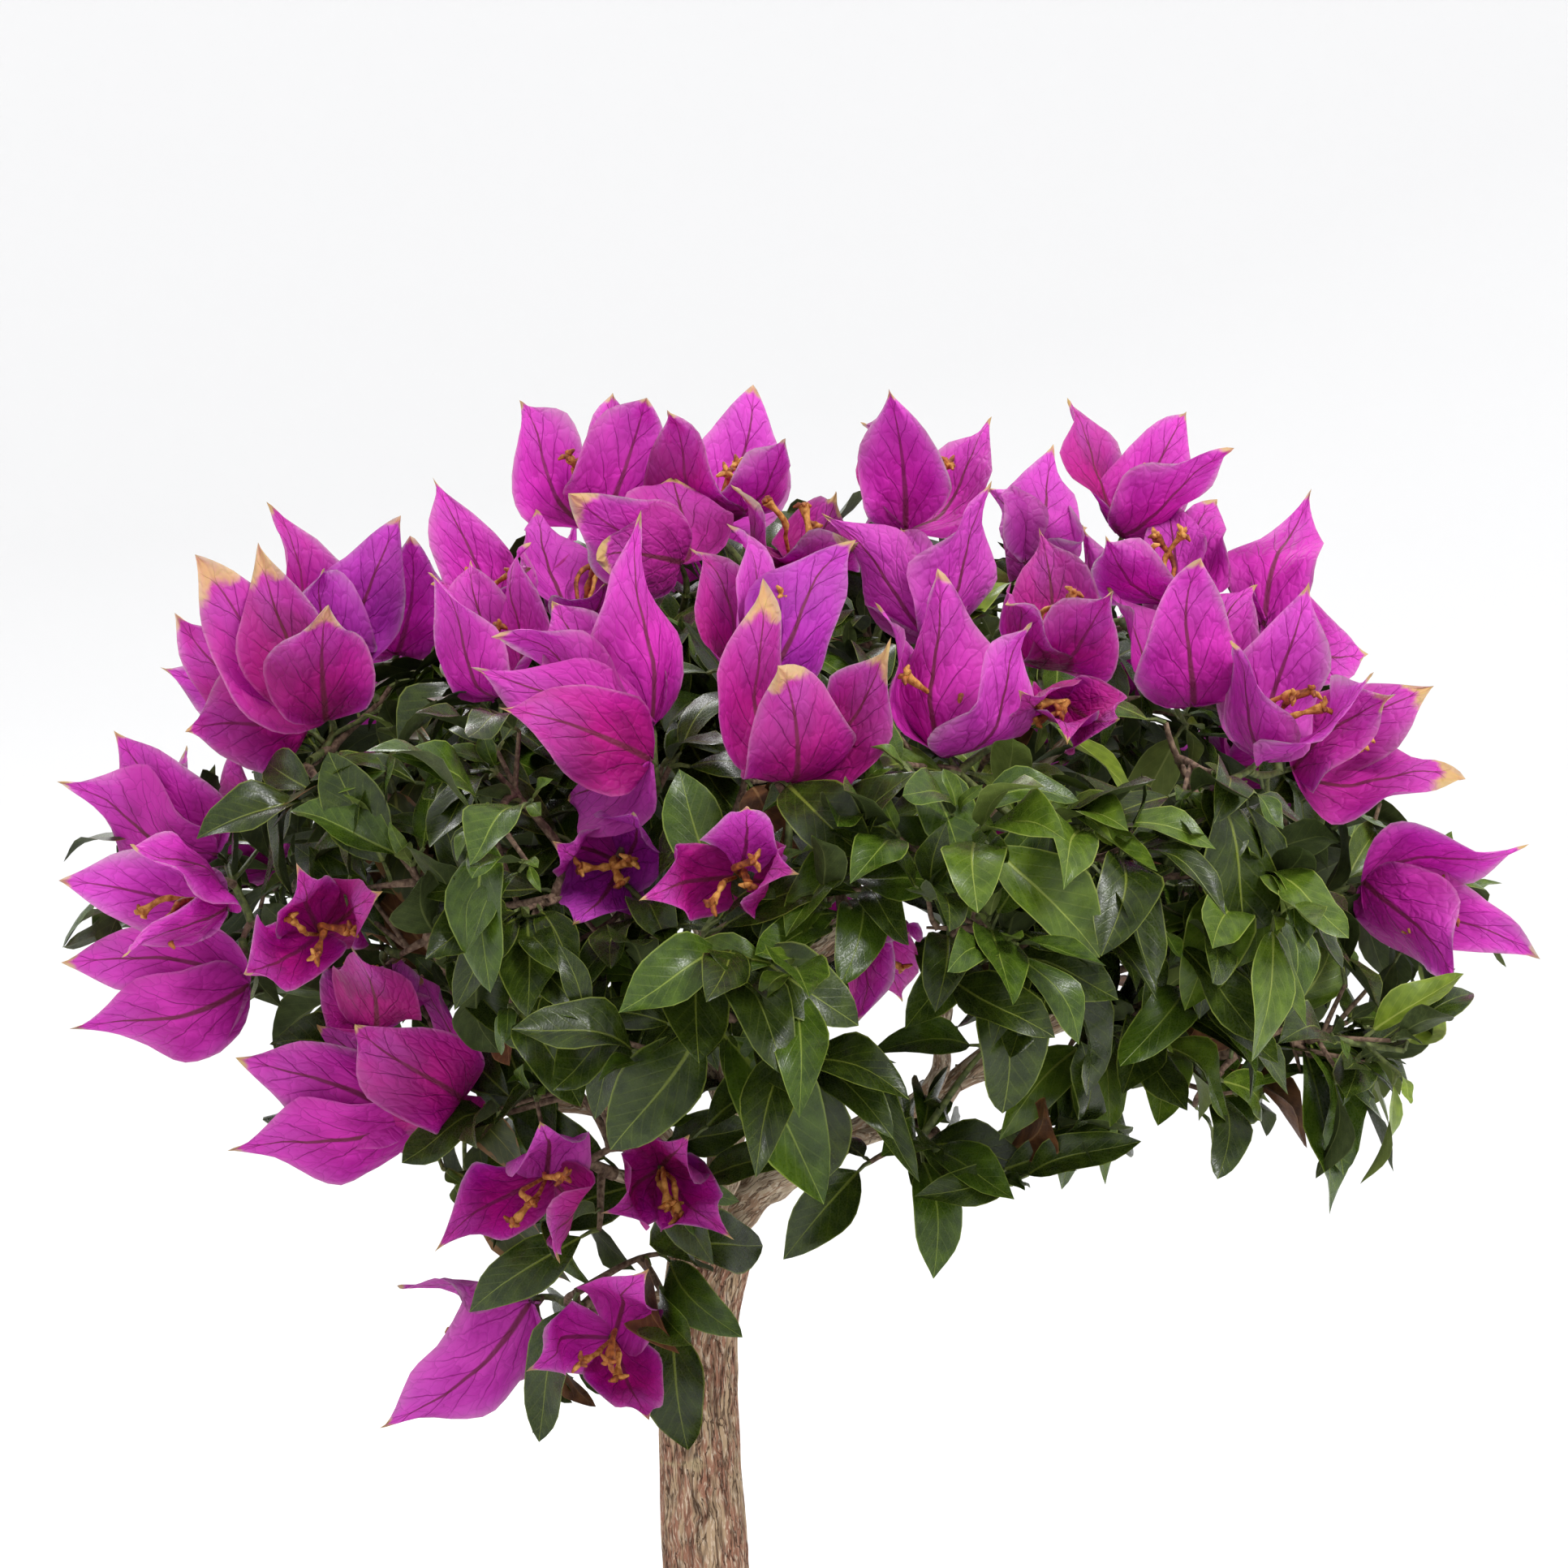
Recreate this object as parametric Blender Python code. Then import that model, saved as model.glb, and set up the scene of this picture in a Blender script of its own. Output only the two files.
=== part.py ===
"""Bougainvillea bonsai in a plain rectangular pot.

A round-headed little tree, about 390 mm tall: a bare trunk with a root flare, boughs that fork from its top,
and masses of foliage on the boughs' tips, with paper-like blooms of three bracts.
The origin is the middle of the pot's flat underside, +X is to the right, +Y to the back and +Z up.
"""

import math
import random

import bmesh
import bpy
from mathutils import Vector
from mathutils.bvhtree import BVHTree

# Driving sizes, in metres
GAP = 0.0003
LIMB_MARGIN = 0.6
SHARP_ANGLE = math.radians(38)
SOIL_LEVEL = 0.066

POT_LENGTH = 0.220
POT_DEPTH = 0.165
POT_HEIGHT = 0.072
POT_TAPER = 0.010
POT_WALL = 0.0075
POT_FLOOR = 0.009
POT_CORNER = 0.022
POT_CORNER_STEPS = 4
FOOT_HEIGHT = 0.006
FOOT_INSET = 0.006
LIP_HEIGHT = 0.011
LIP_PROUD = 0.004
DRAIN_RADIUS = 0.007
DRAIN_OFFSET = 0.048
DRAIN_SIDES = 12
EDGE_STEP = 0.0018
SOIL_FALL = 0.003
SOIL_SHOULDER = 0.012

TRUNK_RADIUS = 0.0094
TRUNK_FLARE = 0.0075
FLARE_HEIGHT = 0.011
ROOT_LOBES = 5
TRUNK_SIDES = 14
ROOT_LOBE_DEPTH = 0.2

LEAF_LENGTH = 0.031
LEAF_WIDTH = 0.0145
LEAF_THICKNESS = 0.0011
BRACT_LENGTH = 0.037
BRACT_WIDTH = 0.030
BRACT_THICKNESS = 0.0012
LEAF_BELLY = 0.45
LEAF_FOLD = 0.10
WHORL_BELLY = 0.42
WHORL_SLANT = 0.42
WHORL_GAP = 1.5
WHORL_FILL = 0.92
WHORL_REST = 0.12
# Width, notch radius and thickness of a whorl's blades
WHORL_SIZES = {
    "bloom": (BRACT_WIDTH, 0.0034, BRACT_THICKNESS),
    "leaves": (LEAF_WIDTH, 0.0016, LEAF_THICKNESS),
}

STEM_RADIUS = 0.0013
TWIG_RADIUS = 0.0008
STEM_KNEE = 0.002
NODE_HEIGHT = 0.0014
NODE_LEAVES = 2
PLACE_ATTEMPTS = 6
WHORL_ATTEMPTS = 4
NUDGE = 0.003
SEAT_FACING = 0.1
FORK_RISE = 0.0012
STEM_BRANCHES = 1
SHORT_SHOOT = 0.022
LINE_PULLS = (0.5, 1.5, 5.0)
BOUGH_KNEE = 0.0016
SHOOT_SPACING = 0.019
SPIRAL_PLACES = 56
SPIRAL_SPAN = 0.86
HIDDEN_DEPTH = 0.038
HIDDEN_SLANT = 0.72
HIDDEN_TURN = 1.1
BLOOM_SHELL = (0.150, 0.128, 0.112)
LEAF_DROOP = 0.22
LEAF_SLANTS = (1.05, 1.3)
LEAF_LENGTHS = (0.82, 1.08)
BLOOM_SHRINK = 0.07
LEAF_SHRINK = 0.07
DEPTH_SHARE = 0.75
STEM_SHARE = 0.6
END_SHARES = (0.45, 0.95)
CLEAR_SHARES = (0.02, 0.10)
ROOT_SHARE = 0.4

# The front view that places are read off: its side in steps, and its real size at the trunk's plane
VIEW_STEPS = 1932
VIEW_WIDTH = 0.367
VIEW_DISTANCE = 1.02
VIEW_MIDDLE = Vector((-0.0036, 0.0, 0.2915))

CROWN_HEART = Vector((-0.004, 0.0, 0.235))
GOLDEN_ANGLE = math.radians(137.5)
UP = Vector((0.0, 0.0, 1.0))


# The crown's upper and lower edge in the front view, as column and row: nothing grown by rule goes past them
CROWN_TOP = (
    (70, 1040), (240, 940), (340, 790), (520, 720), (830, 660), (1060, 600), (1330, 600), (1400, 690),
    (1560, 740), (1700, 960), (1900, 1100),
)
CROWN_FOOT = (
    (70, 1200), (240, 1250), (330, 1330), (380, 1430), (520, 1440), (600, 1620), (665, 1785),
    (720, 1740), (850, 1785), (915, 1650), (945, 1540), (1080, 1440), (1145, 1570), (1190, 1480),
    (1300, 1470), (1390, 1440), (1450, 1360), (1500, 1450), (1635, 1495), (1715, 1440), (1760, 1290),
    (1860, 1200),
)
BLOOM_RISE = 60


def seen(column, row, depth_mm):
    """The place at a column and row of the front view, at a depth behind the trunk's plane."""
    depth = depth_mm / 1000
    step = VIEW_WIDTH / VIEW_STEPS * (1 + depth / VIEW_DISTANCE)
    half = VIEW_STEPS / 2
    return VIEW_MIDDLE + Vector(((column - half) * step, depth, (half - row) * step))


def edge_row(edge, column):
    """The row of an edge of the crown at a column of the front view."""
    for (left, start), (right, end) in zip(edge, edge[1:]):
        if left <= column <= right:
            return start + (end - start) * (column - left) / (right - left)
    return None


def within_edges(point, rise=0):
    """Whether a place stays between the crown's edges in the front view, or a rise above the upper one."""
    step = VIEW_WIDTH / VIEW_STEPS * (1 + point.y / VIEW_DISTANCE)
    column = (point.x - VIEW_MIDDLE.x) / step + VIEW_STEPS / 2
    row = VIEW_STEPS / 2 - (point.z - VIEW_MIDDLE.z) / step
    if edge_row(CROWN_FOOT, column) is None:
        return False
    return edge_row(CROWN_TOP, column) - rise < row < edge_row(CROWN_FOOT, column)


# Trunk: its middle line from the soil to the fork, as column and row, and its radius there
TRUNK_LINE = (
    (872, 2153, 1.16),
    (873, 2060, 1.06),
    (870, 1932, 1.00),
    (862, 1800, 0.97),
    (860, 1690, 0.96),
    (864, 1610, 0.95),
    (876, 1545, 1.02),
    (890, 1500, 0.78),
)

# Boughs: the limb each grows from, how far along that limb, its tip, and its radius at both ends in mm
BOUGHS = {
    "bough_right": ("trunk", 0.95, (1330, 1235, -28), 4.6, 1.8),
    "bough_left": ("trunk", 0.93, (520, 1040, -14), 4.6, 1.8),
    "bough_centre": ("trunk", 0.97, (905, 905, 4), 4.0, 1.7),
    "bough_front": ("trunk", 0.90, (900, 1225, -74), 3.6, 1.7),
    "bough_back": ("trunk", 0.92, (905, 1140, 78), 3.8, 1.7),
    "bough_low": ("trunk", 0.74, (742, 1592, -16), 2.6, 1.4),
    "bough_far_left": ("bough_left", 0.52, (365, 1160, 2), 2.6, 1.3),
    "bough_lower_left": ("bough_left", 0.30, (600, 1345, -22), 2.4, 1.3),
    "bough_left_front": ("bough_left", 0.38, (560, 1200, -55), 2.4, 1.3),
    "bough_left_back": ("bough_left", 0.45, (480, 1110, 50), 2.5, 1.3),
    "bough_low_front": ("bough_front", 0.22, (752, 1445, -40), 2.2, 1.3),
    "bough_front_left": ("bough_front", 0.50, (745, 1100, -72), 2.4, 1.3),
    "bough_front_right": ("bough_right", 0.55, (1175, 1170, -74), 2.4, 1.3),
    "bough_low_right": ("bough_right", 0.38, (1130, 1385, -34), 2.2, 1.3),
    "bough_right_low": ("bough_right", 0.66, (1500, 1300, -14), 2.2, 1.3),
    "bough_far_right": ("bough_right", 0.80, (1545, 1165, 6), 2.4, 1.3),
    "bough_right_back": ("bough_right", 0.60, (1440, 1120, 58), 2.4, 1.3),
    "bough_right_front": ("bough_right", 0.86, (1430, 1080, -52), 2.2, 1.3),
    "bough_crest_left": ("bough_centre", 0.45, (700, 880, -6), 2.5, 1.3),
    "bough_crest_right": ("bough_centre", 0.52, (1110, 880, 2), 2.5, 1.3),
    "bough_right_top": ("bough_centre", 0.38, (1330, 900, -2), 2.5, 1.3),
    "bough_back_left": ("bough_back", 0.50, (690, 1040, 86), 2.4, 1.3),
    "bough_back_right": ("bough_back", 0.52, (1150, 1030, 88), 2.4, 1.3),
}

# Foliage masses: the bough that carries each, its middle, its reach to the side, in depth and up in mm,
# and how many leafy shoots its rule sends out
MASSES = {
    "foliage_far_left": ("bough_far_left", (270, 1120, 0), (32, 38, 30), 6),
    "foliage_upper_left": ("bough_left", (440, 930, -16), (34, 38, 24), 6),
    "foliage_lower_left": ("bough_lower_left", (520, 1310, -24), (30, 34, 20), 5),
    "foliage_left_front": ("bough_left_front", (500, 1130, -66), (34, 28, 28), 7),
    "foliage_left_back": ("bough_left_back", (390, 1060, 70), (40, 42, 34), 7),
    "foliage_low_left": ("bough_low", (700, 1620, -24), (26, 24, 20), 3),
    "foliage_low_front": ("bough_low_front", (700, 1420, -52), (32, 26, 18), 4),
    "foliage_front_left": ("bough_front_left", (700, 1060, -96), (38, 26, 34), 8),
    "foliage_front": ("bough_front", (930, 1180, -112), (34, 24, 40), 8),
    "foliage_front_right": ("bough_front_right", (1190, 1080, -106), (36, 26, 36), 8),
    "foliage_low_right": ("bough_low_right", (1170, 1400, -48), (34, 26, 14), 3),
    "foliage_right_low": ("bough_right_low", (1560, 1280, -26), (36, 32, 20), 6),
    "foliage_far_right": ("bough_far_right", (1620, 1090, 4), (32, 34, 28), 6),
    "foliage_right_front": ("bough_right_front", (1480, 1020, -76), (36, 28, 32), 7),
    "foliage_right": ("bough_right", (1370, 1180, -62), (30, 24, 24), 5),
    "foliage_right_back": ("bough_right_back", (1500, 1050, 80), (42, 40, 34), 7),
    "foliage_crest_left": ("bough_crest_left", (630, 835, 10), (36, 54, 22), 7),
    "foliage_crest": ("bough_centre", (880, 790, 24), (34, 56, 22), 8),
    "foliage_crest_right": ("bough_crest_right", (1130, 815, 28), (34, 56, 22), 8),
    "foliage_right_top": ("bough_right_top", (1400, 835, 16), (34, 54, 24), 8),
    "foliage_back_left": ("bough_back_left", (620, 960, 98), (42, 38, 36), 7),
    "foliage_back": ("bough_back", (900, 1000, 114), (36, 38, 42), 8),
    "foliage_back_right": ("bough_back_right", (1200, 940, 100), (42, 38, 36), 7),
}

# Blooms that the front view shows: the mass, the place of the base, its depth in mm, and the tips of the
# three bracts, each as column, row and whether it leans towards the eye (-1) or away from it (1)
BLOOMS = {
    "foliage_far_left": (
        ((262, 1048), 2, ((70, 963, -1), (140, 900, 1), (230, 918, 1))),
        ((275, 1118), -40, ((72, 1085, 1), (150, 1180, -1), (160, 1040, -1))),
        ((300, 1215), -10, ((85, 1268, -1), (75, 1186, 1), (215, 1290, 1))),
    ),
    "foliage_upper_left": (
        ((415, 815), -4, ((328, 618, 1), (494, 635, 1), (400, 700, -1))),
        ((400, 880), -40, ((240, 683, -1), (318, 668, 1), (405, 745, -1))),
        ((372, 895), -14, ((197, 822, 1), (228, 902, -1), (215, 755, -1))),
        ((490, 800), 22, ((452, 668, 1), (530, 690, 1), (505, 660, -1))),
    ),
    "foliage_lower_left": (
        ((500, 1380), -40, ((280, 1418, -1), (290, 1303, 1), (390, 1262, 1))),
        ((562, 1352), -54, ((437, 1262, -1), (470, 1420, 1), (520, 1200, 1))),
    ),
    "foliage_left_front": (
        ((395, 1150), -60, ((365, 1063, -1), (300, 1200, -1), (472, 1098, -1))),
        ((462, 1262), -46, ((432, 1166, -1), (400, 1190, 1), (500, 1180, 1))),
    ),
    "foliage_low_left": (
        ((648, 1606), -22, ((467, 1760, -1), (489, 1584, 1), (560, 1710, 1))),
        ((755, 1650), -44, ((800, 1563, -1), (648, 1690, -1), (800, 1750, -1))),
    ),
    "foliage_low_front": (
        ((672, 1450), -64, ((535, 1543, -1), (665, 1381, -1), (690, 1557, -1))),
        ((815, 1440), -66, ((740, 1495, -1), (905, 1528, -1), (850, 1398, -1))),
    ),
    "foliage_crest_left": (
        ((612, 852), -62, ((527, 705, -1), (655, 668, 1), (580, 690, 1))),
        ((602, 765), -26, ((533, 588, 1), (530, 720, -1), (655, 700, -1))),
        ((715, 760), -10, ((660, 627, 1), (770, 660, 1), (745, 720, -1))),
    ),
    "foliage_crest": (
        ((735, 645), 16, ((640, 493, 1), (755, 484, 1), (797, 490, -1))),
        ((880, 640), 14, ((822, 505, -1), (928, 474, 1), (968, 540, -1))),
        ((835, 690), -22, ((700, 608, -1), (735, 690, -1), (830, 590, 1))),
        ((975, 690), 0, ((900, 597, -1), (1030, 605, 1), (1058, 668, -1))),
    ),
    "foliage_front_left": (
        ((800, 885), -92, ((790, 628, 1), (605, 785, -1), (680, 740, 1))),
        ((795, 935), -104, ((614, 872, -1), (580, 822, 1), (700, 985, 1))),
        ((765, 1065), -84, ((680, 1036, -1), (705, 1140, -1), (780, 1000, -1))),
    ),
    "foliage_front": (
        ((935, 840), -86, ((850, 675, 1), (895, 645, 1), (1055, 665, 1))),
        ((975, 955), -112, ((958, 820, -1), (1098, 785, -1), (940, 712, 1))),
        ((910, 1080), -122, ((787, 1110, -1), (920, 993, -1), (985, 1077, -1))),
    ),
    "foliage_crest_right": (
        ((1115, 645), 6, ((1095, 479, -1), (1060, 520, 1), (1222, 513, 1))),
        ((1140, 780), -30, ((1222, 592, -1), (1012, 632, 1), (1110, 650, 1))),
    ),
    "foliage_front_right": (
        ((1165, 925), -96, ((1155, 700, 1), (1078, 742, 1), (1272, 766, -1))),
        ((1285, 815), -58, ((1372, 728, -1), (1238, 745, -1), (1280, 650, 1))),
        ((1310, 866), -84, ((1380, 885, -1), (1255, 850, -1), (1315, 918, -1))),
    ),
    "foliage_right_top": (
        ((1385, 655), 4, ((1315, 490, 1), (1462, 507, 1), (1521, 552, -1))),
        ((1265, 690), 30, ((1298, 547, 1), (1215, 600, 1), (1340, 650, 1))),
        ((1440, 740), -22, ((1500, 615, 1), (1362, 660, -1), (1440, 625, 1))),
        ((1470, 862), -48, ((1480, 687, -1), (1362, 720, 1), (1550, 720, 1))),
    ),
    "foliage_right_front": (
        ((1560, 765), -14, ((1616, 602, 1), (1500, 690, 1), (1686, 806, 1))),
        ((1560, 930), -50, ((1515, 790, -1), (1613, 717, 1), (1693, 828, -1))),
        ((1600, 945), -28, ((1720, 855, -1), (1806, 960, -1), (1767, 845, 1))),
    ),
    "foliage_far_right": (
        ((1686, 1090), -4, ((1884, 1040, 1), (1898, 1182, 1), (1790, 1215, -1))),
    ),
}

# Leaf sprays that the front view shows: the mass, the place of the spray's end, its depth, and the leaf tips
SPRAYS = {
    "foliage_low_right": (
        ((1135, 1415), -62, ((1150, 1576, -1), (1250, 1478, -1), (1132, 1345, 1), (1085, 1425, -1))),
        ((1072, 1432), -50, ((965, 1552, -1),)),
        ((1215, 1292), -60, ((1068, 1300, -1),)),
    ),
    "foliage_front_right": (
        ((1222, 1182), -112, ((1235, 1372, -1), (1115, 1268, -1), (1378, 1232, -1))),
        ((1200, 1030), -126, ((1205, 1125, -1), (1285, 970, -1), (1312, 1035, -1), (1355, 1180, -1))),
    ),
    "foliage_right_low": (
        ((1600, 1262), -20, ((1717, 1444, -1), (1655, 1448, -1), (1638, 1497, 1))),
        ((1500, 1330), -34, ((1500, 1453, -1), (1545, 1380, 1))),
    ),
    "foliage_right": (
        ((1318, 1290), -52, ((1362, 1460, -1), (1308, 1466, 1))),
        ((1470, 1212), -84, ((1380, 1314, -1), (1575, 1310, -1))),
    ),
    "foliage_right_front": (
        ((1572, 1072), -84, ((1503, 1201, -1), (1602, 1175, -1), (1378, 1030, -1))),
    ),
    "foliage_low_left": (
        ((812, 1545), -30, ((915, 1648, -1), (940, 1535, 1))),
        ((826, 1618), -34, ((848, 1787, -1),)),
        ((712, 1592), -34, ((664, 1777, -1),)),
    ),
    "foliage_low_front": (
        ((738, 1516), -48, ((578, 1617, -1),)),
        ((625, 1372), -48, ((495, 1433, -1),)),
    ),
    "foliage_front": (
        ((880, 1255), -122, ((752, 1417, -1), (960, 1432, -1), (1015, 1484, 1))),
        ((905, 1165), -130, ((762, 1248, -1), (1058, 1264, -1), (870, 1235, -1))),
        ((955, 960), -116, ((1070, 1060, -1),)),
        ((1065, 1095), -108, ((1035, 1215, -1), (1120, 1165, -1))),
    ),
    "foliage_front_left": (
        ((650, 1120), -102, ((524, 1182, -1), (560, 1245, -1), (650, 1255, -1))),
    ),
    "foliage_upper_left": (
        ((392, 985), -50, ((242, 1034, -1), (475, 950, -1), (525, 1075, -1), (330, 940, 1))),
    ),
}


# Small vector helpers


def across(vector, direction):
    """The part of a vector at a right angle to a direction, one unit long."""
    rest = vector - direction * vector.dot(direction)
    if rest.length < 1e-6:
        rest = direction.orthogonal()
    return rest.normalized()


def curve_between(start, leave, end, arrive, steps):
    """Points of a smooth curve that leaves and arrives in the given directions."""
    reach = (end - start).length * 0.8
    points = []
    for index in range(steps + 1):
        t = index / steps
        a = 2 * t ** 3 - 3 * t ** 2 + 1
        b = t ** 3 - 2 * t ** 2 + t
        c = -2 * t ** 3 + 3 * t ** 2
        d = t ** 3 - t ** 2
        points.append(start * a + leave * (reach * b) + end * c + arrive * (reach * d))
    return points


def smooth_line(points, steps):
    """A smooth curve through points, with equal steps between each two."""
    line = []
    for index in range(len(points) - 1):
        before = points[max(index - 1, 0)]
        start = points[index]
        end = points[index + 1]
        after = points[min(index + 2, len(points) - 1)]
        for step in range(steps):
            t = step / steps
            bend = (2 * before - 5 * start + 4 * end - after) * t ** 2
            twist = (3 * start - before - 3 * end + after) * t ** 3
            line.append((2 * start + (end - before) * t + bend + twist) / 2)
    line.append(points[-1])
    return line


def tangent(points, index):
    """The direction of a polyline at one of its points."""
    low = max(index - 1, 0)
    high = min(index + 1, len(points) - 1)
    return (points[high] - points[low]).normalized()


def along(points, share):
    """The point and direction at a share of a polyline's steps."""
    place = share * (len(points) - 1)
    index = min(int(place), len(points) - 2)
    step = points[index + 1] - points[index]
    return points[index] + step * (place - index), step.normalized()


def heading_of(tips, base):
    """The middle direction of some tips from their base."""
    return sum(((tip - base).normalized() for tip in tips), Vector()).normalized()


# Closed solids as vertices and faces


def tube_solid(points, radii, sides, shape=None, start_side=Vector((0.3, 1.0, 0.2))):
    """A closed tube through points; shape(ring, angle) scales the radius where it is given."""
    vertices = []
    faces = []
    side = across(start_side, tangent(points, 0))
    for ring, (point, radius) in enumerate(zip(points, radii)):
        direction = tangent(points, ring)
        side = across(side, direction)
        other = direction.cross(side)
        for corner in range(sides):
            angle = 2 * math.pi * corner / sides
            scale = shape(ring, angle) if shape else 1.0
            spoke = side * math.cos(angle) + other * math.sin(angle)
            vertices.append(point + spoke * (radius * scale))
    for ring in range(len(points) - 1):
        for corner in range(sides):
            a = ring * sides + corner
            b = ring * sides + (corner + 1) % sides
            faces.append((a, b, b + sides, a + sides))
    faces.append(tuple(reversed(range(sides))))
    last = (len(points) - 1) * sides
    faces.append(tuple(range(last, last + sides)))
    return vertices, faces


def blade_middle(base, tip, normal, width, thickness):
    """The widest place of a blade: its two edges, and the points above and below its fold."""
    direction = (tip - base).normalized()
    normal = across(normal, direction)
    side = direction.cross(normal) * (width / 2)
    middle = base.lerp(tip, LEAF_BELLY)
    fold = middle - normal * (width * LEAF_FOLD)
    return middle + side, middle - side, fold + normal * (thickness / 2), fold - normal * (thickness / 2)


def leaf_solid(base, tip, normal, width, thickness):
    """A folded blade of eight faces."""
    left, right, over, under = blade_middle(base, tip, normal, width, thickness)
    faces = [(0, 4, 1), (1, 4, 2), (2, 4, 3), (3, 4, 0), (0, 1, 5), (1, 2, 5), (2, 3, 5), (3, 0, 5)]
    return [base, left, tip, right, over, under], faces


def short_face(base, ring, corner):
    """The corners of the side face between two rings of a twig whose first vertex is base."""
    a = base + ring * 3 + corner
    b = base + ring * 3 + (corner + 1) % 3
    return a, b, b + 3, a + 3


def add_leaf(vertices, faces, face, tip, normal):
    """Grows a leaf out of a short side face of a twig."""
    a, b, c, d = face
    faces.remove(face)
    base = (vertices[a] + vertices[b] + vertices[c] + vertices[d]) / 4
    ahead, behind, over, under = blade_middle(base, tip, normal, LEAF_WIDTH, LEAF_THICKNESS)
    if (ahead - behind).dot(vertices[a] - vertices[b]) < 0:
        ahead, behind = behind, ahead
    if (over - under).dot(vertices[d] - vertices[a]) < 0:
        over, under = under, over
    left = len(vertices)
    right, end, top, low = left + 1, left + 2, left + 3, left + 4
    vertices += [ahead, behind, tip, over, under]
    faces += [(top, d, left), (top, left, end), (top, end, right), (top, right, c), (top, c, d)]
    faces += [(low, b, right), (low, right, end), (low, end, left), (low, left, a), (low, a, b)]
    faces += [(a, left, d), (b, c, right)]


def rooted_leaf(corners, tip, normal):
    """The faces of a leaf that grows out of a short side face with these corners."""
    vertices = list(corners)
    faces = [(0, 1, 2, 3)]
    add_leaf(vertices, faces, faces[0], tip, normal)
    return vertices, faces


def add_fork(vertices, faces, face, first):
    """Joins a twig's open first ring to a short side face of the twig that bears it."""
    a, b, c, d = face
    faces.remove(face)
    ring = [first, first + 1, first + 2]
    upper = (vertices[c] + vertices[d]) / 2
    targets = (vertices[a], vertices[b], upper)
    turns = [ring[k:] + ring[:k] for k in range(3)]
    p, q, r = min(turns, key=lambda turn: sum((vertices[i] - t).length for i, t in zip(turn, targets)))
    faces += [(a, b, q), (a, q, p), (b, c, r), (b, r, q), (c, d, r), (d, a, p), (d, p, r)]


class Whorl:
    """Three blades round a shoot's end: their order round its axis, and the notches between them."""

    def __init__(self, base, tips, kind):
        self.base = base
        self.width, self.notch, self.thickness = WHORL_SIZES[kind]
        self.axis = heading_of(tips, base)
        self.first = across(tips[0] - base, self.axis)
        self.second = self.axis.cross(self.first)
        self.tips = sorted(tips, key=self.azimuth)
        angles = [self.azimuth(tip) for tip in self.tips]
        self.gaps = [(angles[(k + 1) % 3] - angles[k]) % (2 * math.pi) for k in range(3)]
        self.turns = [angles[k] + self.gaps[k] / 2 for k in range(3)]

    def azimuth(self, tip):
        spoke = tip - self.base
        return math.atan2(spoke.dot(self.second), spoke.dot(self.first)) % (2 * math.pi)

    def spoke(self, angle):
        return self.first * math.cos(angle) + self.second * math.sin(angle)

    def open_end(self, vertices, faces, grow=0.0):
        """Closes a three-sided twig's open end with the three blades, or with wider ones."""
        width = self.width + 2 * grow
        thickness = self.thickness + 2 * grow
        ring = [len(vertices) - 3 + k for k in range(3)]
        notches = [len(vertices) + k for k in range(3)]
        lift = self.base + self.axis * (self.notch * 0.5)
        vertices += [lift + self.spoke(turn) * self.notch for turn in self.turns]
        heart = len(vertices)
        vertices.append(self.base + self.axis * (thickness * 1.2))
        for k in range(3):
            before = (k - 1) % 3
            direction = (self.tips[k] - self.base).normalized()
            inward = across(self.axis, direction)
            side = inward.cross(direction)
            middle = self.base.lerp(self.tips[k], WHORL_BELLY)
            arm = middle - self.base
            out = (arm - self.axis * arm.dot(self.axis)).length
            wide = []
            for gap in (self.gaps[before], self.gaps[k]):
                room = out * math.tan(min(gap / 2, 1.2)) * WHORL_FILL
                wide.append(max(min(width / 2, room), width * WHORL_REST))
            sag = middle - inward * (width * LEAF_FOLD)
            left = len(vertices)
            tip, right, inner, outer = left + 1, left + 2, left + 3, left + 4
            vertices += [middle - side * wide[0], self.tips[k] + direction * grow, middle + side * wide[1]]
            vertices += [sag + inward * (thickness / 2), sag - inward * (thickness / 2)]
            rim = (heart, notches[before], left, tip, right, notches[k])
            back = (notches[k], right, tip, left, notches[before], ring[before], ring[k])
            for fan, hub in ((rim, inner), (back, outer)):
                for step in range(len(fan)):
                    faces.append((hub, fan[step], fan[(step + 1) % len(fan)]))


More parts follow.
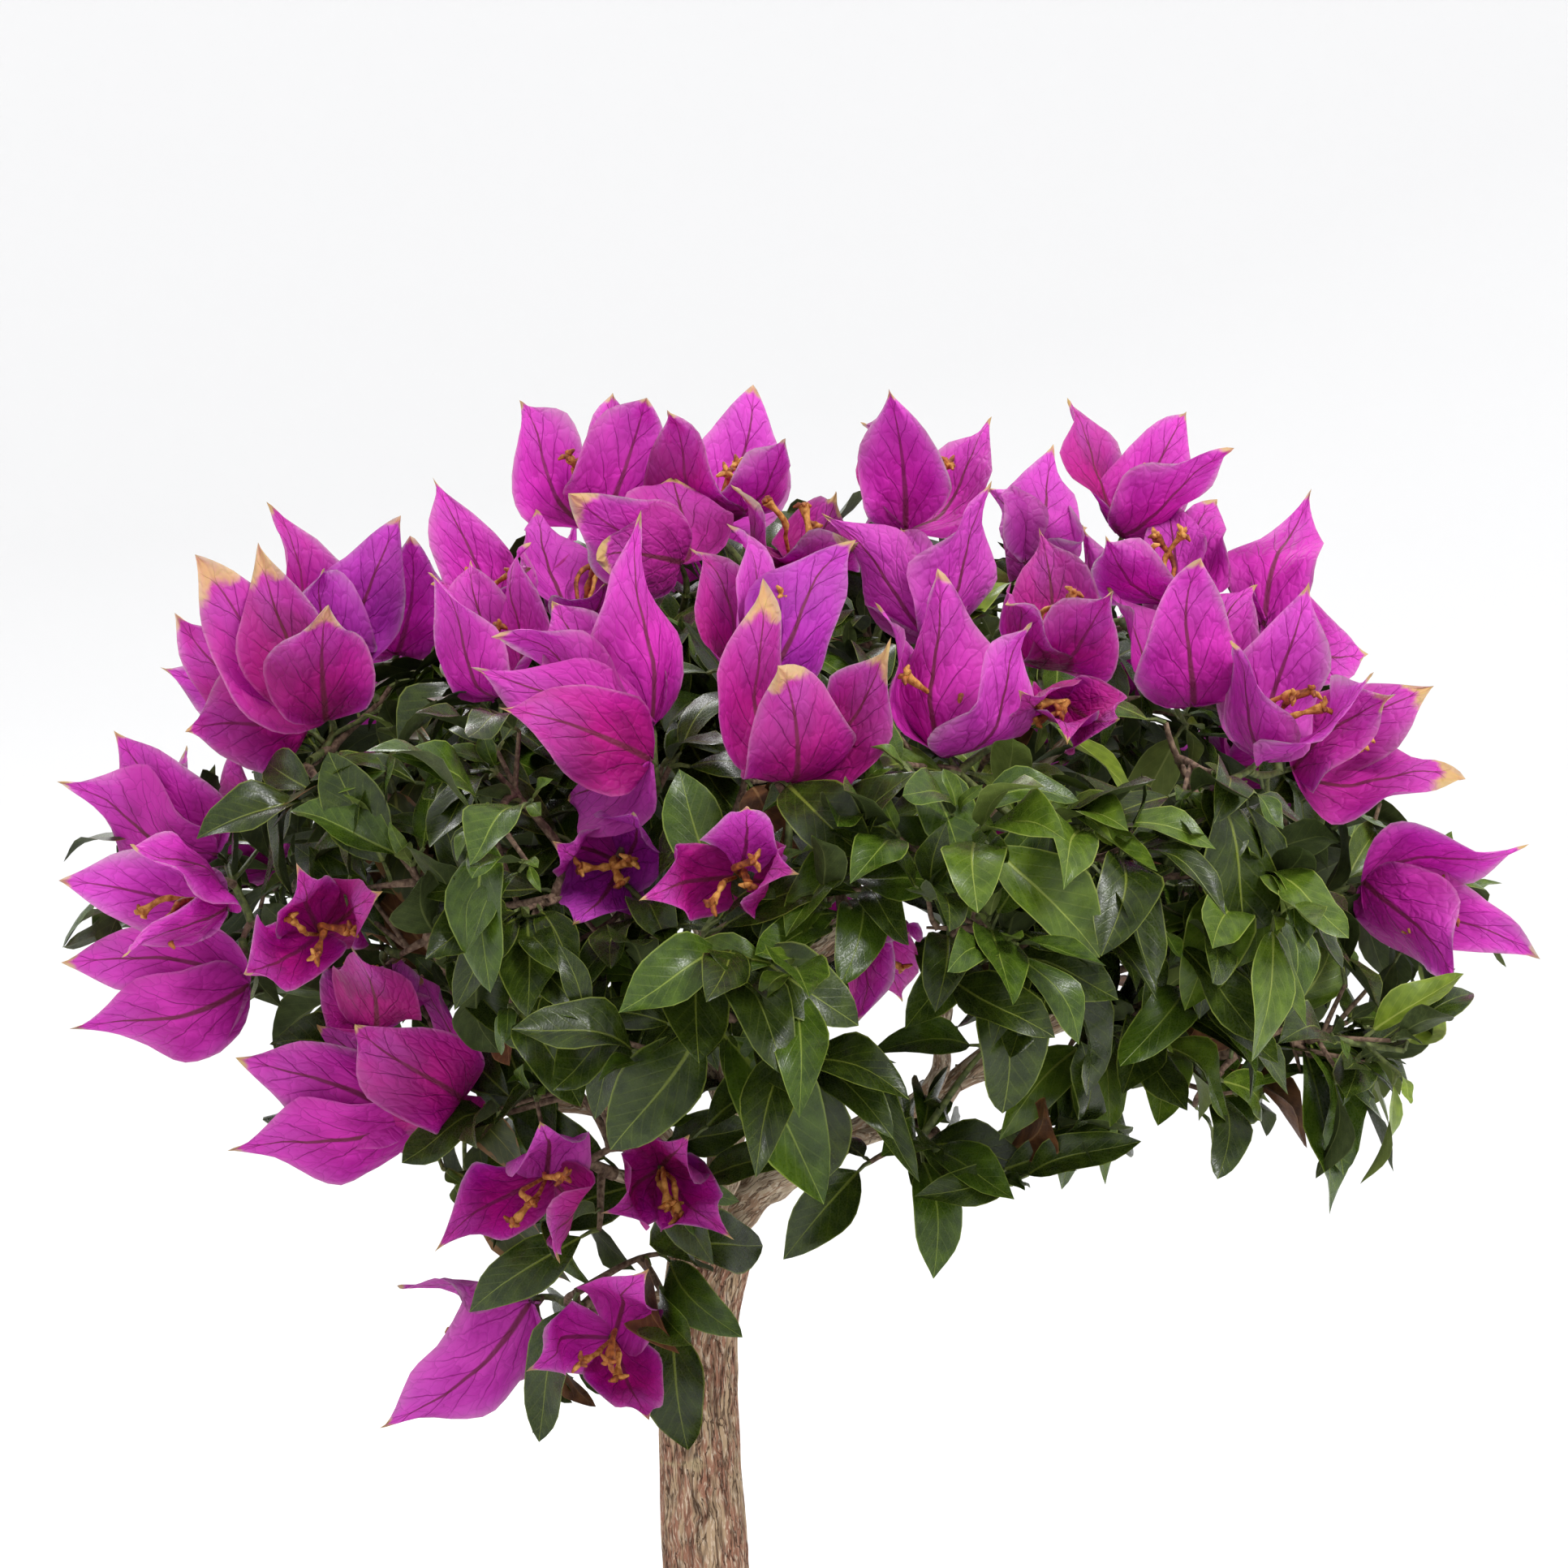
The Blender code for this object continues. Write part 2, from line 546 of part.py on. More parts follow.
class Shoot:
    """A three-sided twig, with the blades at its end and what its short side faces bear."""

    def __init__(self, kind, end, tips=(), shown=False):
        self.kind = kind
        self.shown = shown
        self.end = end
        self.tips = list(tips)
        self.first_node = 2 if kind == "stem" else 1
        self.whorl = None
        self.seat = None
        self.forks = []
        self.leaves = []
        self.taken = set()

    def lay(self, points, whorl=None):
        """Gives the twig its line, and its corners' turn: the last ones face the whorl's notches."""
        self.points = points
        self.whorl = whorl
        thick = STEM_RADIUS if self.kind == "stem" else TWIG_RADIUS
        self.radii = [thick * (1 - 0.3 * k / (len(points) - 1)) for k in range(len(points))]
        self.side = Vector((0.3, 1.0, 0.2))
        if whorl:
            self.side = whorl.spoke(whorl.turns[0])
            for index in reversed(range(len(points))):
                self.side = across(self.side, tangent(points, index))

    def tube(self, grow=0.0):
        return tube_solid(self.points, [radius + grow for radius in self.radii], 3, start_side=self.side)

    def solid(self, grow=0.0):
        """The twig and its whorl alone, or a little wider."""
        vertices, faces = self.tube(grow)
        if self.whorl:
            faces.pop()
            self.whorl.open_end(vertices, faces, grow)
        return vertices, faces

    def seats(self):
        """The free short faces: their ring and corner, their middle and the way they face."""
        vertices, _ = self.tube()
        found = []
        for ring in range(self.first_node, len(self.points) - 2, 2):
            middle = (self.points[ring] + self.points[ring + 1]) / 2
            for corner in range(3):
                if (ring, corner) in self.taken:
                    continue
                spot = sum((vertices[k] for k in short_face(0, ring, corner)), Vector()) / 4
                found.append((ring, corner, spot, (spot - middle).normalized()))
        return found

    def build(self, vertices, faces, face=None):
        """Adds the twig and all that grows from it to one solid."""
        base = len(vertices)
        own_vertices, own_faces = self.tube()
        if self.whorl:
            own_faces.pop()
        if face:
            own_faces.remove((2, 1, 0))
        vertices += own_vertices
        faces += [tuple(base + k for k in one) for one in own_faces]
        if self.whorl:
            self.whorl.open_end(vertices, faces)
        if face:
            add_fork(vertices, faces, face, base)
        for fork in self.forks:
            fork.build(vertices, faces, short_face(base, *fork.seat))
        for ring, corner, tip, normal in self.leaves:
            add_leaf(vertices, faces, short_face(base, ring, corner), tip, normal)
        return vertices, faces


def crosses_itself(solid):
    """Whether two faces of a solid that share no corner meet."""
    vertices, faces = solid
    tree = BVHTree.FromPolygons(vertices, faces)
    return any(not set(faces[a]) & set(faces[b]) for a, b in tree.overlap(tree) if a < b)


# What already stands in the crown, for keeping new pieces clear of it


class Space:
    """Boxes and search trees of the solids placed so far."""

    def __init__(self):
        self.entries = []

    def entry(self, solid):
        vertices, faces = solid
        low = [min(v[axis] for v in vertices) for axis in range(3)]
        high = [max(v[axis] for v in vertices) for axis in range(3)]
        return low, high, BVHTree.FromPolygons(vertices, faces)

    def add(self, solid):
        """Places a solid, and returns its number."""
        self.entries.append(self.entry(solid))
        return len(self.entries) - 1

    def touches(self, solid, passed=()):
        """Whether a solid meets one that stands, apart from those whose numbers are passed over."""
        low, high, tree = self.entry(solid)
        for number, (other_low, other_high, other_tree) in enumerate(self.entries):
            if number in passed:
                continue
            if any(low[k] > other_high[k] or high[k] < other_low[k] for k in range(3)):
                continue
            if tree.overlap(other_tree):
                return True
        return False


# Making and joining objects


def material(name, colour, roughness):
    """A plain Principled material."""
    made = bpy.data.materials.new(name)
    made.use_nodes = True
    shader = made.node_tree.nodes["Principled BSDF"]
    shader.inputs["Base Color"].default_value = (*colour, 1.0)
    shader.inputs["Roughness"].default_value = roughness
    shader.inputs["Metallic"].default_value = 0.0
    made.diffuse_color = (*colour, 1.0)
    return made


def new_object(name, solid, finish=None):
    """An object of a solid's vertices and faces."""
    mesh = bpy.data.meshes.new(name)
    mesh.from_pydata([tuple(v) for v in solid[0]], [], solid[1])
    mesh.update()
    made = bpy.data.objects.new(name, mesh)
    bpy.context.scene.collection.objects.link(made)
    if finish:
        mesh.materials.append(finish)
    return made


def smooth_round(target):
    """Shades a round piece smooth, with sharp edges kept."""
    target.data.shade_smooth()
    target.data.set_sharp_from_angle(angle=SHARP_ANGLE)


def combine(target, others, operation, solver):
    """Applies one Boolean of a collection of objects to the target, and removes them."""
    group = bpy.data.collections.new("operands")
    bpy.context.scene.collection.children.link(group)
    for one in others:
        group.objects.link(one)
    boolean = target.modifiers.new("combine", "BOOLEAN")
    boolean.operation = operation
    boolean.operand_type = "COLLECTION"
    boolean.collection = group
    boolean.solver = solver
    graph = bpy.context.evaluated_depsgraph_get()
    joined = bpy.data.meshes.new_from_object(target.evaluated_get(graph))
    target.modifiers.remove(boolean)
    old = target.data
    target.data = joined
    bpy.data.meshes.remove(old)
    bpy.data.collections.remove(group)
    for one in others:
        mesh = one.data
        bpy.data.objects.remove(one)
        bpy.data.meshes.remove(mesh)


def keep_body(target):
    """Leaves only the largest closed body, without scraps or sealed hollows."""
    form = bmesh.new()
    form.from_mesh(target.data)
    bmesh.ops.triangulate(form, faces=form.faces)
    bmesh.ops.dissolve_degenerate(form, dist=1e-6, edges=form.edges)
    left = set(form.faces)
    bodies = []
    while left:
        body = [left.pop()]
        for face in body:
            near = {other for edge in face.edges for other in edge.link_faces} & left
            left -= near
            body.extend(near)
        bodies.append(body)
    bodies.sort(key=len, reverse=True)
    for body in bodies[1:]:
        bmesh.ops.delete(form, geom=body, context="FACES")
    loose = [v for v in form.verts if not v.link_faces]
    bmesh.ops.delete(form, geom=loose, context="VERTS")
    form.to_mesh(target.data)
    form.free()


# Pot and soil


def rounded_ring(length, depth, corner, height):
    """Points of a rectangle with rounded corners at a height, counter-clockwise."""
    points = []
    quarter = math.pi / 2
    for turn, (sx, sy) in enumerate(((1, 1), (-1, 1), (-1, -1), (1, -1))):
        middle = Vector((sx * (length / 2 - corner), sy * (depth / 2 - corner), height))
        for step in range(POT_CORNER_STEPS + 1):
            angle = turn * quarter + quarter * step / POT_CORNER_STEPS
            points.append(middle + Vector((math.cos(angle), math.sin(angle), 0.0)) * corner)
    return points


def stacked(rings):
    """A closed solid through rings of points, capped at both ends."""
    count = len(rings[0])
    vertices = [point for ring in rings for point in ring]
    faces = [tuple(reversed(range(count)))]
    for level in range(len(rings) - 1):
        for index in range(count):
            a = level * count + index
            b = level * count + (index + 1) % count
            faces.append((a, b, b + count, a + count))
    last = (len(rings) - 1) * count
    faces.append(tuple(range(last, last + count)))
    return vertices, faces


def wall_inset(height):
    """How far the outer wall stands inside the lip's outline at a height."""
    return LIP_PROUD + POT_TAPER * (1 - height / POT_HEIGHT)


def pot_ring(inset, height):
    corner = max(POT_CORNER - inset, 0.004)
    return rounded_ring(POT_LENGTH - 2 * inset, POT_DEPTH - 2 * inset, corner, height)


def make_pot(finish):
    """The pot: a foot band, a flared wall, a lip, and two drain holes off its middle."""
    lip_foot = POT_HEIGHT - LIP_HEIGHT
    rings = [
        pot_ring(wall_inset(0) + FOOT_INSET, 0.0),
        pot_ring(wall_inset(FOOT_HEIGHT) + FOOT_INSET, FOOT_HEIGHT),
        pot_ring(wall_inset(FOOT_HEIGHT), FOOT_HEIGHT + EDGE_STEP),
        pot_ring(wall_inset(lip_foot), lip_foot),
        pot_ring(0.0, lip_foot + EDGE_STEP),
        pot_ring(0.0, POT_HEIGHT - EDGE_STEP),
        pot_ring(EDGE_STEP, POT_HEIGHT),
        pot_ring(LIP_PROUD + POT_WALL - EDGE_STEP, POT_HEIGHT),
        pot_ring(LIP_PROUD + POT_WALL, POT_HEIGHT - EDGE_STEP),
        pot_ring(wall_inset(POT_FLOOR) + POT_WALL, POT_FLOOR),
    ]
    pot = new_object("pot", stacked(rings), finish)
    drains = []
    for side in (-1, 1):
        ends = [Vector((side * DRAIN_OFFSET, 0.0, z)) for z in (-0.005, POT_FLOOR + 0.005)]
        drains.append(new_object("drain", tube_solid(ends, (DRAIN_RADIUS,) * 2, DRAIN_SIDES)))
    combine(pot, drains, "DIFFERENCE", "EXACT")
    keep_body(pot)
    smooth_round(pot)


def make_soil(finish):
    """The soil that fills the pot, flat where the trunk stands and a little lower at the wall."""
    floor = POT_FLOOR + GAP
    edge = SOIL_LEVEL - SOIL_FALL
    low = wall_inset(POT_FLOOR) + POT_WALL + GAP
    high = LIP_PROUD + POT_WALL + GAP
    share = (edge - POT_FLOOR) / (POT_HEIGHT - EDGE_STEP - POT_FLOOR)
    rings = [
        pot_ring(low, floor),
        pot_ring(low + (high - low) * share, edge),
        pot_ring(high + SOIL_SHOULDER, SOIL_LEVEL),
    ]
    keep_body(new_object("soil", stacked(rings), finish))


# Trunk and boughs


def limb_solid(limb, grow=0.0):
    """A limb's closed tube, or one that stands off it by grow."""
    points = list(limb["points"])
    radii = [radius + grow for radius in limb["radii"]]
    if grow:
        points[0] = points[0] - tangent(points, 0) * grow
        points[-1] = points[-1] + tangent(points, len(points) - 1) * grow
    vertices, faces = tube_solid(points, radii, limb["sides"], limb["shape"])
    if limb["foot"]:
        for vertex in vertices[:limb["sides"]]:
            vertex.z = limb["foot"] - grow
    return vertices, faces


def plan_trunk():
    """The trunk: it leans and bends as the front view shows, and spreads into root lobes at the soil."""
    places = [seen(column, row, 0) for column, row, _ in TRUNK_LINE]
    places[0].z = SOIL_LEVEL + GAP
    line = smooth_line(places, 2)
    shares = smooth_line([Vector((share, 0, 0)) for _, _, share in TRUNK_LINE], 2)
    foot = line[0].z
    radii = []
    for point, share in zip(line, shares):
        flare = TRUNK_FLARE * math.exp(-(point.z - foot) / FLARE_HEIGHT)
        radii.append(TRUNK_RADIUS * share.x + flare)

    def lobes(ring, angle):
        strength = ROOT_LOBE_DEPTH * math.exp(-(line[ring].z - foot) / FLARE_HEIGHT)
        return 1 + strength * math.cos(ROOT_LOBES * angle + 0.6) + 0.02 * math.cos(3 * angle + ring * 0.5)

    return {"points": line, "radii": radii, "sides": TRUNK_SIDES, "shape": lobes, "foot": foot}


def plan_boughs(limbs):
    """Each bough is one tapering curve from its parent's middle line to its tip."""
    for order, (name, (parent, share, tip, thick, thin)) in enumerate(BOUGHS.items()):
        start, leave = along(limbs[parent]["points"], share)
        end = seen(*tip)
        main = parent == "trunk"
        straight = (end - start).normalized()
        leave = (leave * (0.35 if main else 0.6) + straight).normalized()
        outward = across(end - CROWN_HEART, UP)
        arrive = (straight + UP * 0.35 + outward * 0.25).normalized()
        steps = 7 if main else 4
        points = curve_between(start, leave, end, arrive, steps)
        rng = random.Random(order + 11)
        for index in range(1, steps):
            knee = Vector((rng.uniform(-1, 1), rng.uniform(-1, 1), rng.uniform(-1, 1)))
            points[index] += knee * (BOUGH_KNEE if main else BOUGH_KNEE / 2)
        radii = [(thick + (thin - thick) * (k / steps) ** 0.8) / 1000 for k in range(steps + 1)]
        sides = 7 if main else 5
        limbs[name] = {"points": points, "radii": radii, "sides": sides, "shape": None, "foot": 0.0}


def make_limbs(limbs, finish):
    """Builds the limbs; each bough's foot hugs the limbs before it, a gap clear."""
    earlier = []
    for name, limb in limbs.items():
        made = new_object(name, limb_solid(limb), finish)
        if earlier:
            cutters = [new_object("cutter", limb_solid(one, GAP)) for one in earlier]
            combine(made, cutters, "DIFFERENCE", "EXACT")
        keep_body(made)
        smooth_round(made)
        earlier.append(limb)


# The growth rule


def deep_tips(base, tips, length):
    """Tips as the front view shows them, as deep as the blade's length asks for where it is foreshortened."""
    places = []
    for column, row, lean in tips:
        short = (seen(column, row, base.y * 1000) - base).length
        depth = min(math.sqrt(max(length ** 2 - short ** 2, 0.0)), length * DEPTH_SHARE)
        places.append(seen(column, row, (base.y + lean * depth) * 1000))
    return places


def spread_tips(base, tips):
    """Turns three blade tips round their axis until no two lie over each other."""
    axis = heading_of(tips, base)
    first = across(tips[0] - base, axis)
    second = axis.cross(first)
    arms = []
    for tip in tips:
        arm = tip - base
        angle = math.atan2(arm.dot(second), arm.dot(first)) % (2 * math.pi)
        slant = max(arm.angle(axis), WHORL_SLANT)
        arms.append([angle, slant, arm.length])
    arms.sort()
    for _ in range(12):
        for k in range(3):
            gap = (arms[(k + 1) % 3][0] - arms[k][0]) % (2 * math.pi)
            push = max(WHORL_GAP - gap, 0.0) / 2
            arms[k][0] -= push
            arms[(k + 1) % 3][0] += push
    places = []
    for angle, slant, length in arms:
        spoke = first * math.cos(angle) + second * math.sin(angle)
        places.append(base + (axis * math.cos(slant) + spoke * math.sin(slant)) * length)
    return places


def nearest_mass(point):
    """The name of the mass whose middle is nearest, counted in reaches."""
    spans = {}
    for name, (_, middle, reach, _) in MASSES.items():
        offset = point - seen(*middle)
        spans[name] = sum((offset[k] * 1000 / reach[k]) ** 2 for k in range(3))
    return min(spans, key=spans.get)


def plan_ends(name, rng):
    """Seeded ends of leafy shoots in a mass, spread out and on its outer side."""
    _, middle, reach, count = MASSES[name]
    heart = seen(*middle)
    outward = (heart - CROWN_HEART).normalized()
    ends = []
    for _ in range(count * 60):
        if len(ends) == count:
            break
        spoke = Vector((rng.gauss(0, 1), rng.gauss(0, 1), rng.gauss(0, 1))).normalized()
        spoke = (spoke + outward * 0.5).normalized()
        share = rng.uniform(*END_SHARES)
        place = heart + Vector([spoke[k] * reach[k] * share / 1000 for k in range(3)])
        if nearest_mass(place) == name and all((place - other).length > SHOOT_SPACING for other in ends):
            ends.append(place)
    return ends


def plan_hidden_blooms():
    """Places of the blooms over the back, which the front view doesn't show, by a spiral rule."""
    blooms = {}
    for index in range(SPIRAL_PLACES):
        height = 1 - (index + 0.5) / SPIRAL_PLACES * SPIRAL_SPAN
        angle = index * GOLDEN_ANGLE
        ring = math.sqrt(1 - height ** 2)
        spoke = Vector((math.cos(angle) * ring, math.sin(angle) * ring, height))
        place = CROWN_HEART + Vector([spoke[k] * BLOOM_SHELL[k] for k in range(3)])
        if place.y > HIDDEN_DEPTH:
            blooms.setdefault(nearest_mass(place), []).append(place)
    return blooms


def tips_round(base, axis, phase, slant, length):
    """Three tips at a slant round an axis."""
    side = across(UP, axis)
    other = axis.cross(side)
    tips = []
    for index in range(3):
        angle = phase + index * 2 * math.pi / 3
        spoke = side * math.cos(angle) + other * math.sin(angle)
        tips.append(base + (axis * math.cos(slant) + spoke * math.sin(slant)) * length)
    return tips


def plan_shoots(name, rng, hidden):
    """All shoots of a mass: its shown blooms and sprays, its hidden blooms and its leafy shoots by rule."""
    shoots = []
    for (column, row), depth, tips in BLOOMS.get(name, ()):
        end = seen(column, row, depth)
        shoots.append(Shoot("bloom", end, spread_tips(end, deep_tips(end, tips, BRACT_LENGTH)), True))
    for (column, row), depth, tips in SPRAYS.get(name, ()):
        end = seen(column, row, depth)
        shoots.append(Shoot("spray", end, deep_tips(end, tips, LEAF_LENGTH), True))
    for order, end in enumerate(hidden.get(name, ())):
        axis = ((end - CROWN_HEART).normalized() + UP * 0.35).normalized()
        tips = tips_round(end, axis, order * HIDDEN_TURN, HIDDEN_SLANT, BRACT_LENGTH)
        shoots.append(Shoot("bloom", end, tips))
    for end in plan_ends(name, rng):
        shoots.append(Shoot("leaves", end))
    return shoots


def grow_stem(name, limbs):
    """A mass's stem, which goes on from its bough's tip a gap clear."""
    bough, middle, _, _ = MASSES[name]
    limb = limbs[bough]["points"]
    leave = tangent(limb, len(limb) - 1)
    start = limb[-1] + leave * GAP
    heart = seen(*middle)
    end = start + (heart - start) * STEM_SHARE
    stem = Shoot("stem", end)
    knee = start + leave * STEM_KNEE
    stem.lay([start] + with_nodes(curve_between(knee, leave, end, (heart - start).normalized(), 3)))
    return stem


def routes_from(shoots, end):
    """Places from which a shoot can leave for its end, the nearest first: twig, seat, point and direction."""
    routes = []
    for shoot in shoots:
        if shoot.kind == "stem" and len(shoots) <= STEM_BRANCHES + 2:
            for index in range(shoot.first_node, len(shoot.points) - 1, 2):
                point = shoot.points[index].lerp(shoot.points[index + 1], 0.5)
                ahead = (shoot.points[index + 1] - shoot.points[index]).normalized()
                straight = (end - point).normalized()
                leave = (across(straight, ahead) + straight * 0.7 + ahead * 0.2).normalized()
                routes.append(((end - point).length, shoot, None, point, leave))
        if len(shoots) <= STEM_BRANCHES:
            continue
        for ring, corner, spot, facing in shoot.seats():
            straight = (end - spot).normalized()
            if facing.dot(straight) > SEAT_FACING:
                leave = (facing + straight * 0.6).normalized()
                routes.append(((end - spot).length, shoot, (ring, corner), spot + leave * FORK_RISE, leave))
    return sorted(routes, key=lambda route: route[0])[:16]


def with_nodes(line):
    """A twig's points with a short stretch at each inner point, where leaves and forks can grow."""
    points = [line[0]]
    for index in range(1, len(line) - 1):
        half = tangent(line, index) * (NODE_HEIGHT / 2)
        points += [line[index] - half, line[index] + half]
    points.append(line[-1])
    return points


def whorl_choices(shoot, arrive, rng):
    """Whorls to try at a shoot's end: a bloom's own tips, ever shorter, or leaves turned at random."""
    for attempt in range(WHORL_ATTEMPTS):
        if shoot.kind == "bloom":
            tips = [shoot.end + (tip - shoot.end) * (1 - BLOOM_SHRINK * attempt) for tip in shoot.tips]
        else:
            slant = rng.uniform(*LEAF_SLANTS)
            length = LEAF_LENGTH * (1 - LEAF_SHRINK * attempt)
            tips = tips_round(shoot.end, arrive, rng.uniform(0, 2.1), slant, length)
            tips = [tip - UP * (LEAF_LENGTH * LEAF_DROOP) for tip in tips]
        rise = BLOOM_RISE if shoot.kind == "bloom" else 0
        if shoot.shown or all(within_edges(tip, rise) for tip in tips):
            yield Whorl(shoot.end, tips, shoot.kind)


def nudges_for(shoot, rng):
    """Small moves to try when a shoot finds no room: a shown one keeps its place in the front view."""
    yield Vector()
    for attempt in range(1, PLACE_ATTEMPTS):
        if shoot.kind == "leaves":
            reach = NUDGE * (1 + attempt * 0.5)
            yield Vector((rng.uniform(-1, 1), rng.uniform(-1, 1), rng.uniform(-1, 1))) * reach
        else:
            yield Vector((0.0, NUDGE * (attempt // 2 + 1) * (-1) ** attempt, 0.0))


def place_shoot(shoot, standing, space, rng):
    """Finds a clear way for a shoot from what stands; returns whether there is one."""
    home = shoot.end
    tips = shoot.tips
    for nudge in nudges_for(shoot, rng):
        shoot.end = home + nudge
        shoot.tips = [tip + nudge for tip in tips]
        routes = routes_from(standing, shoot.end)
        if any(follow_route(shoot, route, standing, space, rng) for route in routes):
            return True
    return False


def follow_route(shoot, route, standing, space, rng):
    """Lays a shoot along one route if it stands clear of everything there."""
    _, parent, seat, point, leave = route
    straight = (shoot.end - point).normalized()
    if shoot.kind == "bloom":
        arrive = heading_of(shoot.tips, shoot.end)
    else:
        arrive = ((shoot.end - CROWN_HEART).normalized() * 0.8 + straight).normalized()
    steps = 2 if shoot.kind == "bloom" or (shoot.end - point).length < SHORT_SHOOT else 3
    trial = Shoot(shoot.kind, shoot.end)
    kin = [number for one in standing for number in one.own]
    for pull in LINE_PULLS:
        into = (arrive + straight * pull).normalized()
        points = with_nodes(curve_between(point, leave, shoot.end, into, steps))
        trial.lay(points)
        if space.touches(trial.tube(GAP), kin):
            continue
        trial.lay([points[0].lerp(points[1], ROOT_SHARE)] + points[1:])
        if not space.touches(trial.tube(GAP), parent.own):
            break
    else:
        return False
    whorl = None
    if shoot.kind != "spray":
        for whorl in whorl_choices(shoot, arrive, rng):
            trial.lay(trial.points, whorl)
            wide = trial.solid(GAP)
            if not crosses_itself(wide) and not space.touches(wide, parent.own[:1]):
                break
        else:
            return False
    shoot.lay(points, whorl)
    shoot.seat = seat
    if seat:
        parent.forks.append(shoot)
        parent.taken.add(seat)
    shoot.own = [space.add(shoot.tube())]
    if whorl:
        shoot.own.append(space.add(shoot.solid()))
    standing.append(shoot)
    return True


def leaf_normal(root, tip):
    """The side a leaf turns its face to: up and out of the crown."""
    outward = (root - CROWN_HEART).normalized()
    return across(UP * 0.8 + outward * 0.9, (tip - root).normalized())


def seat_leaf(shoot, seat, tip, space):
    """Grows a leaf from a free face if it would stand clear from a tenth of its length on."""
    ring, corner, spot, _ = seat
    normal = leaf_normal(spot, tip)
    width = LEAF_WIDTH + 2 * GAP
    thickness = LEAF_THICKNESS + 2 * GAP
    for share, passed in zip(CLEAR_SHARES, (shoot.own, ())):
        if space.touches(leaf_solid(spot.lerp(tip, share), tip, normal, width, thickness), passed):
            return False
    vertices, _ = shoot.tube()
    leaf = rooted_leaf([vertices[k] for k in short_face(0, ring, corner)], tip, normal)
    if space.touches(leaf, shoot.own):
        return False
    space.add(leaf)
    shoot.leaves.append((ring, corner, tip, normal))
    shoot.taken.add((ring, corner))
    return True


def seat_spray(shoot, space):
    """Gives each leaf tip that the front view shows the free face that looks its way."""
    seats = shoot.seats()
    for tip in shoot.tips:
        def match(seat):
            return seat[3].dot((tip - seat[2]).normalized()) + seat[0] * 0.15
        for seat in sorted(seats, key=match, reverse=True):
            if seat[3].dot((tip - seat[2]).normalized()) > 0 and seat_leaf(shoot, seat, tip, space):
                seats.remove(seat)
                break


def clothe(shoot, space, rng):
    """Grows leaves from a shoot's free faces by the seeded rule: outwards from the twig and drooping."""
    outward = (shoot.end - CROWN_HEART).normalized()
    grown = {}
    for seat in shoot.seats():
        ring, corner, spot, facing = seat
        heading = facing + tangent(shoot.points, ring) * 0.35 + outward * 0.4 - UP * rng.uniform(0.1, 0.6)
        tip = spot + heading.normalized() * (LEAF_LENGTH * rng.uniform(*LEAF_LENGTHS))
        inward = (tip - spot).dot(outward) < -0.3 * LEAF_LENGTH
        if inward or not within_edges(tip) or grown.get(ring, 0) == NODE_LEAVES:
            continue
        if seat_leaf(shoot, seat, tip, space):
            grown[ring] = grown.get(ring, 0) + 1


def grow_crown(limbs):
    """The shoots of every mass: stems first, then blooms, sprays and leafy shoots, and their leaves last."""
    space = Space()
    for limb in limbs.values():
        space.add(limb_solid(limb, GAP * LIMB_MARGIN))
    hidden = plan_hidden_blooms()
    crown = {}
    for name in MASSES:
        rng = random.Random(sum(map(ord, name)))
        stem = grow_stem(name, limbs)
        stem.own = [space.add(stem.solid())]
        crown[name] = {"standing": [stem], "rng": rng, "shoots": plan_shoots(name, rng, hidden)}
    for kind in ("bloom", "spray", "leaves"):
        for mass in crown.values():
            own = [shoot for shoot in mass["shoots"] if shoot.kind == kind]
            if kind == "leaves":
                own.sort(key=lambda one: (one.end - mass["standing"][0].end).length)
            for shoot in own:
                if place_shoot(shoot, mass["standing"], space, mass["rng"]) and kind == "spray":
                    seat_spray(shoot, space)
    for mass in crown.values():
        for shoot in mass["standing"][1:]:
            clothe(shoot, space, mass["rng"])
    return crown


def make_masses(limbs, finish):
    """Each mass is one solid: its stem, and the branches that leave it, joined by one union."""
    for name, mass in grow_crown(limbs).items():
        stem = mass["standing"][0]
        branches = [shoot for shoot in mass["standing"][1:] if not shoot.seat]
        made = new_object(name, stem.build([], []), finish)
        combine(made, [new_object("branch", one.build([], [])) for one in branches], "UNION", "MANIFOLD")
        keep_body(made)


def main():
    for one in list(bpy.data.objects):
        bpy.data.objects.remove(one)
    clay = material("stoneware", (0.20, 0.11, 0.075), 0.6)
    earth = material("soil", (0.06, 0.045, 0.035), 0.95)
    bark = material("bark", (0.25, 0.17, 0.12), 0.9)
    foliage = material("foliage", (0.10, 0.14, 0.06), 0.5)
    make_pot(clay)
    make_soil(earth)
    limbs = {"trunk": plan_trunk()}
    plan_boughs(limbs)
    make_limbs(limbs, bark)
    make_masses(limbs, foliage)


main()
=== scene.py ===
"""The looks of a bougainvillea bonsai in a plain pot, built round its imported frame.

The trunk and the boughs get bark with relief, and each foliage mass is grown again by the same rule, carried
to finer twigs, with leaves and blooms in their own outline. Metres, +X to the right, +Y to the back, +Z up.
"""

import math
import random

import bpy
import numpy as np
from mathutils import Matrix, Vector, noise


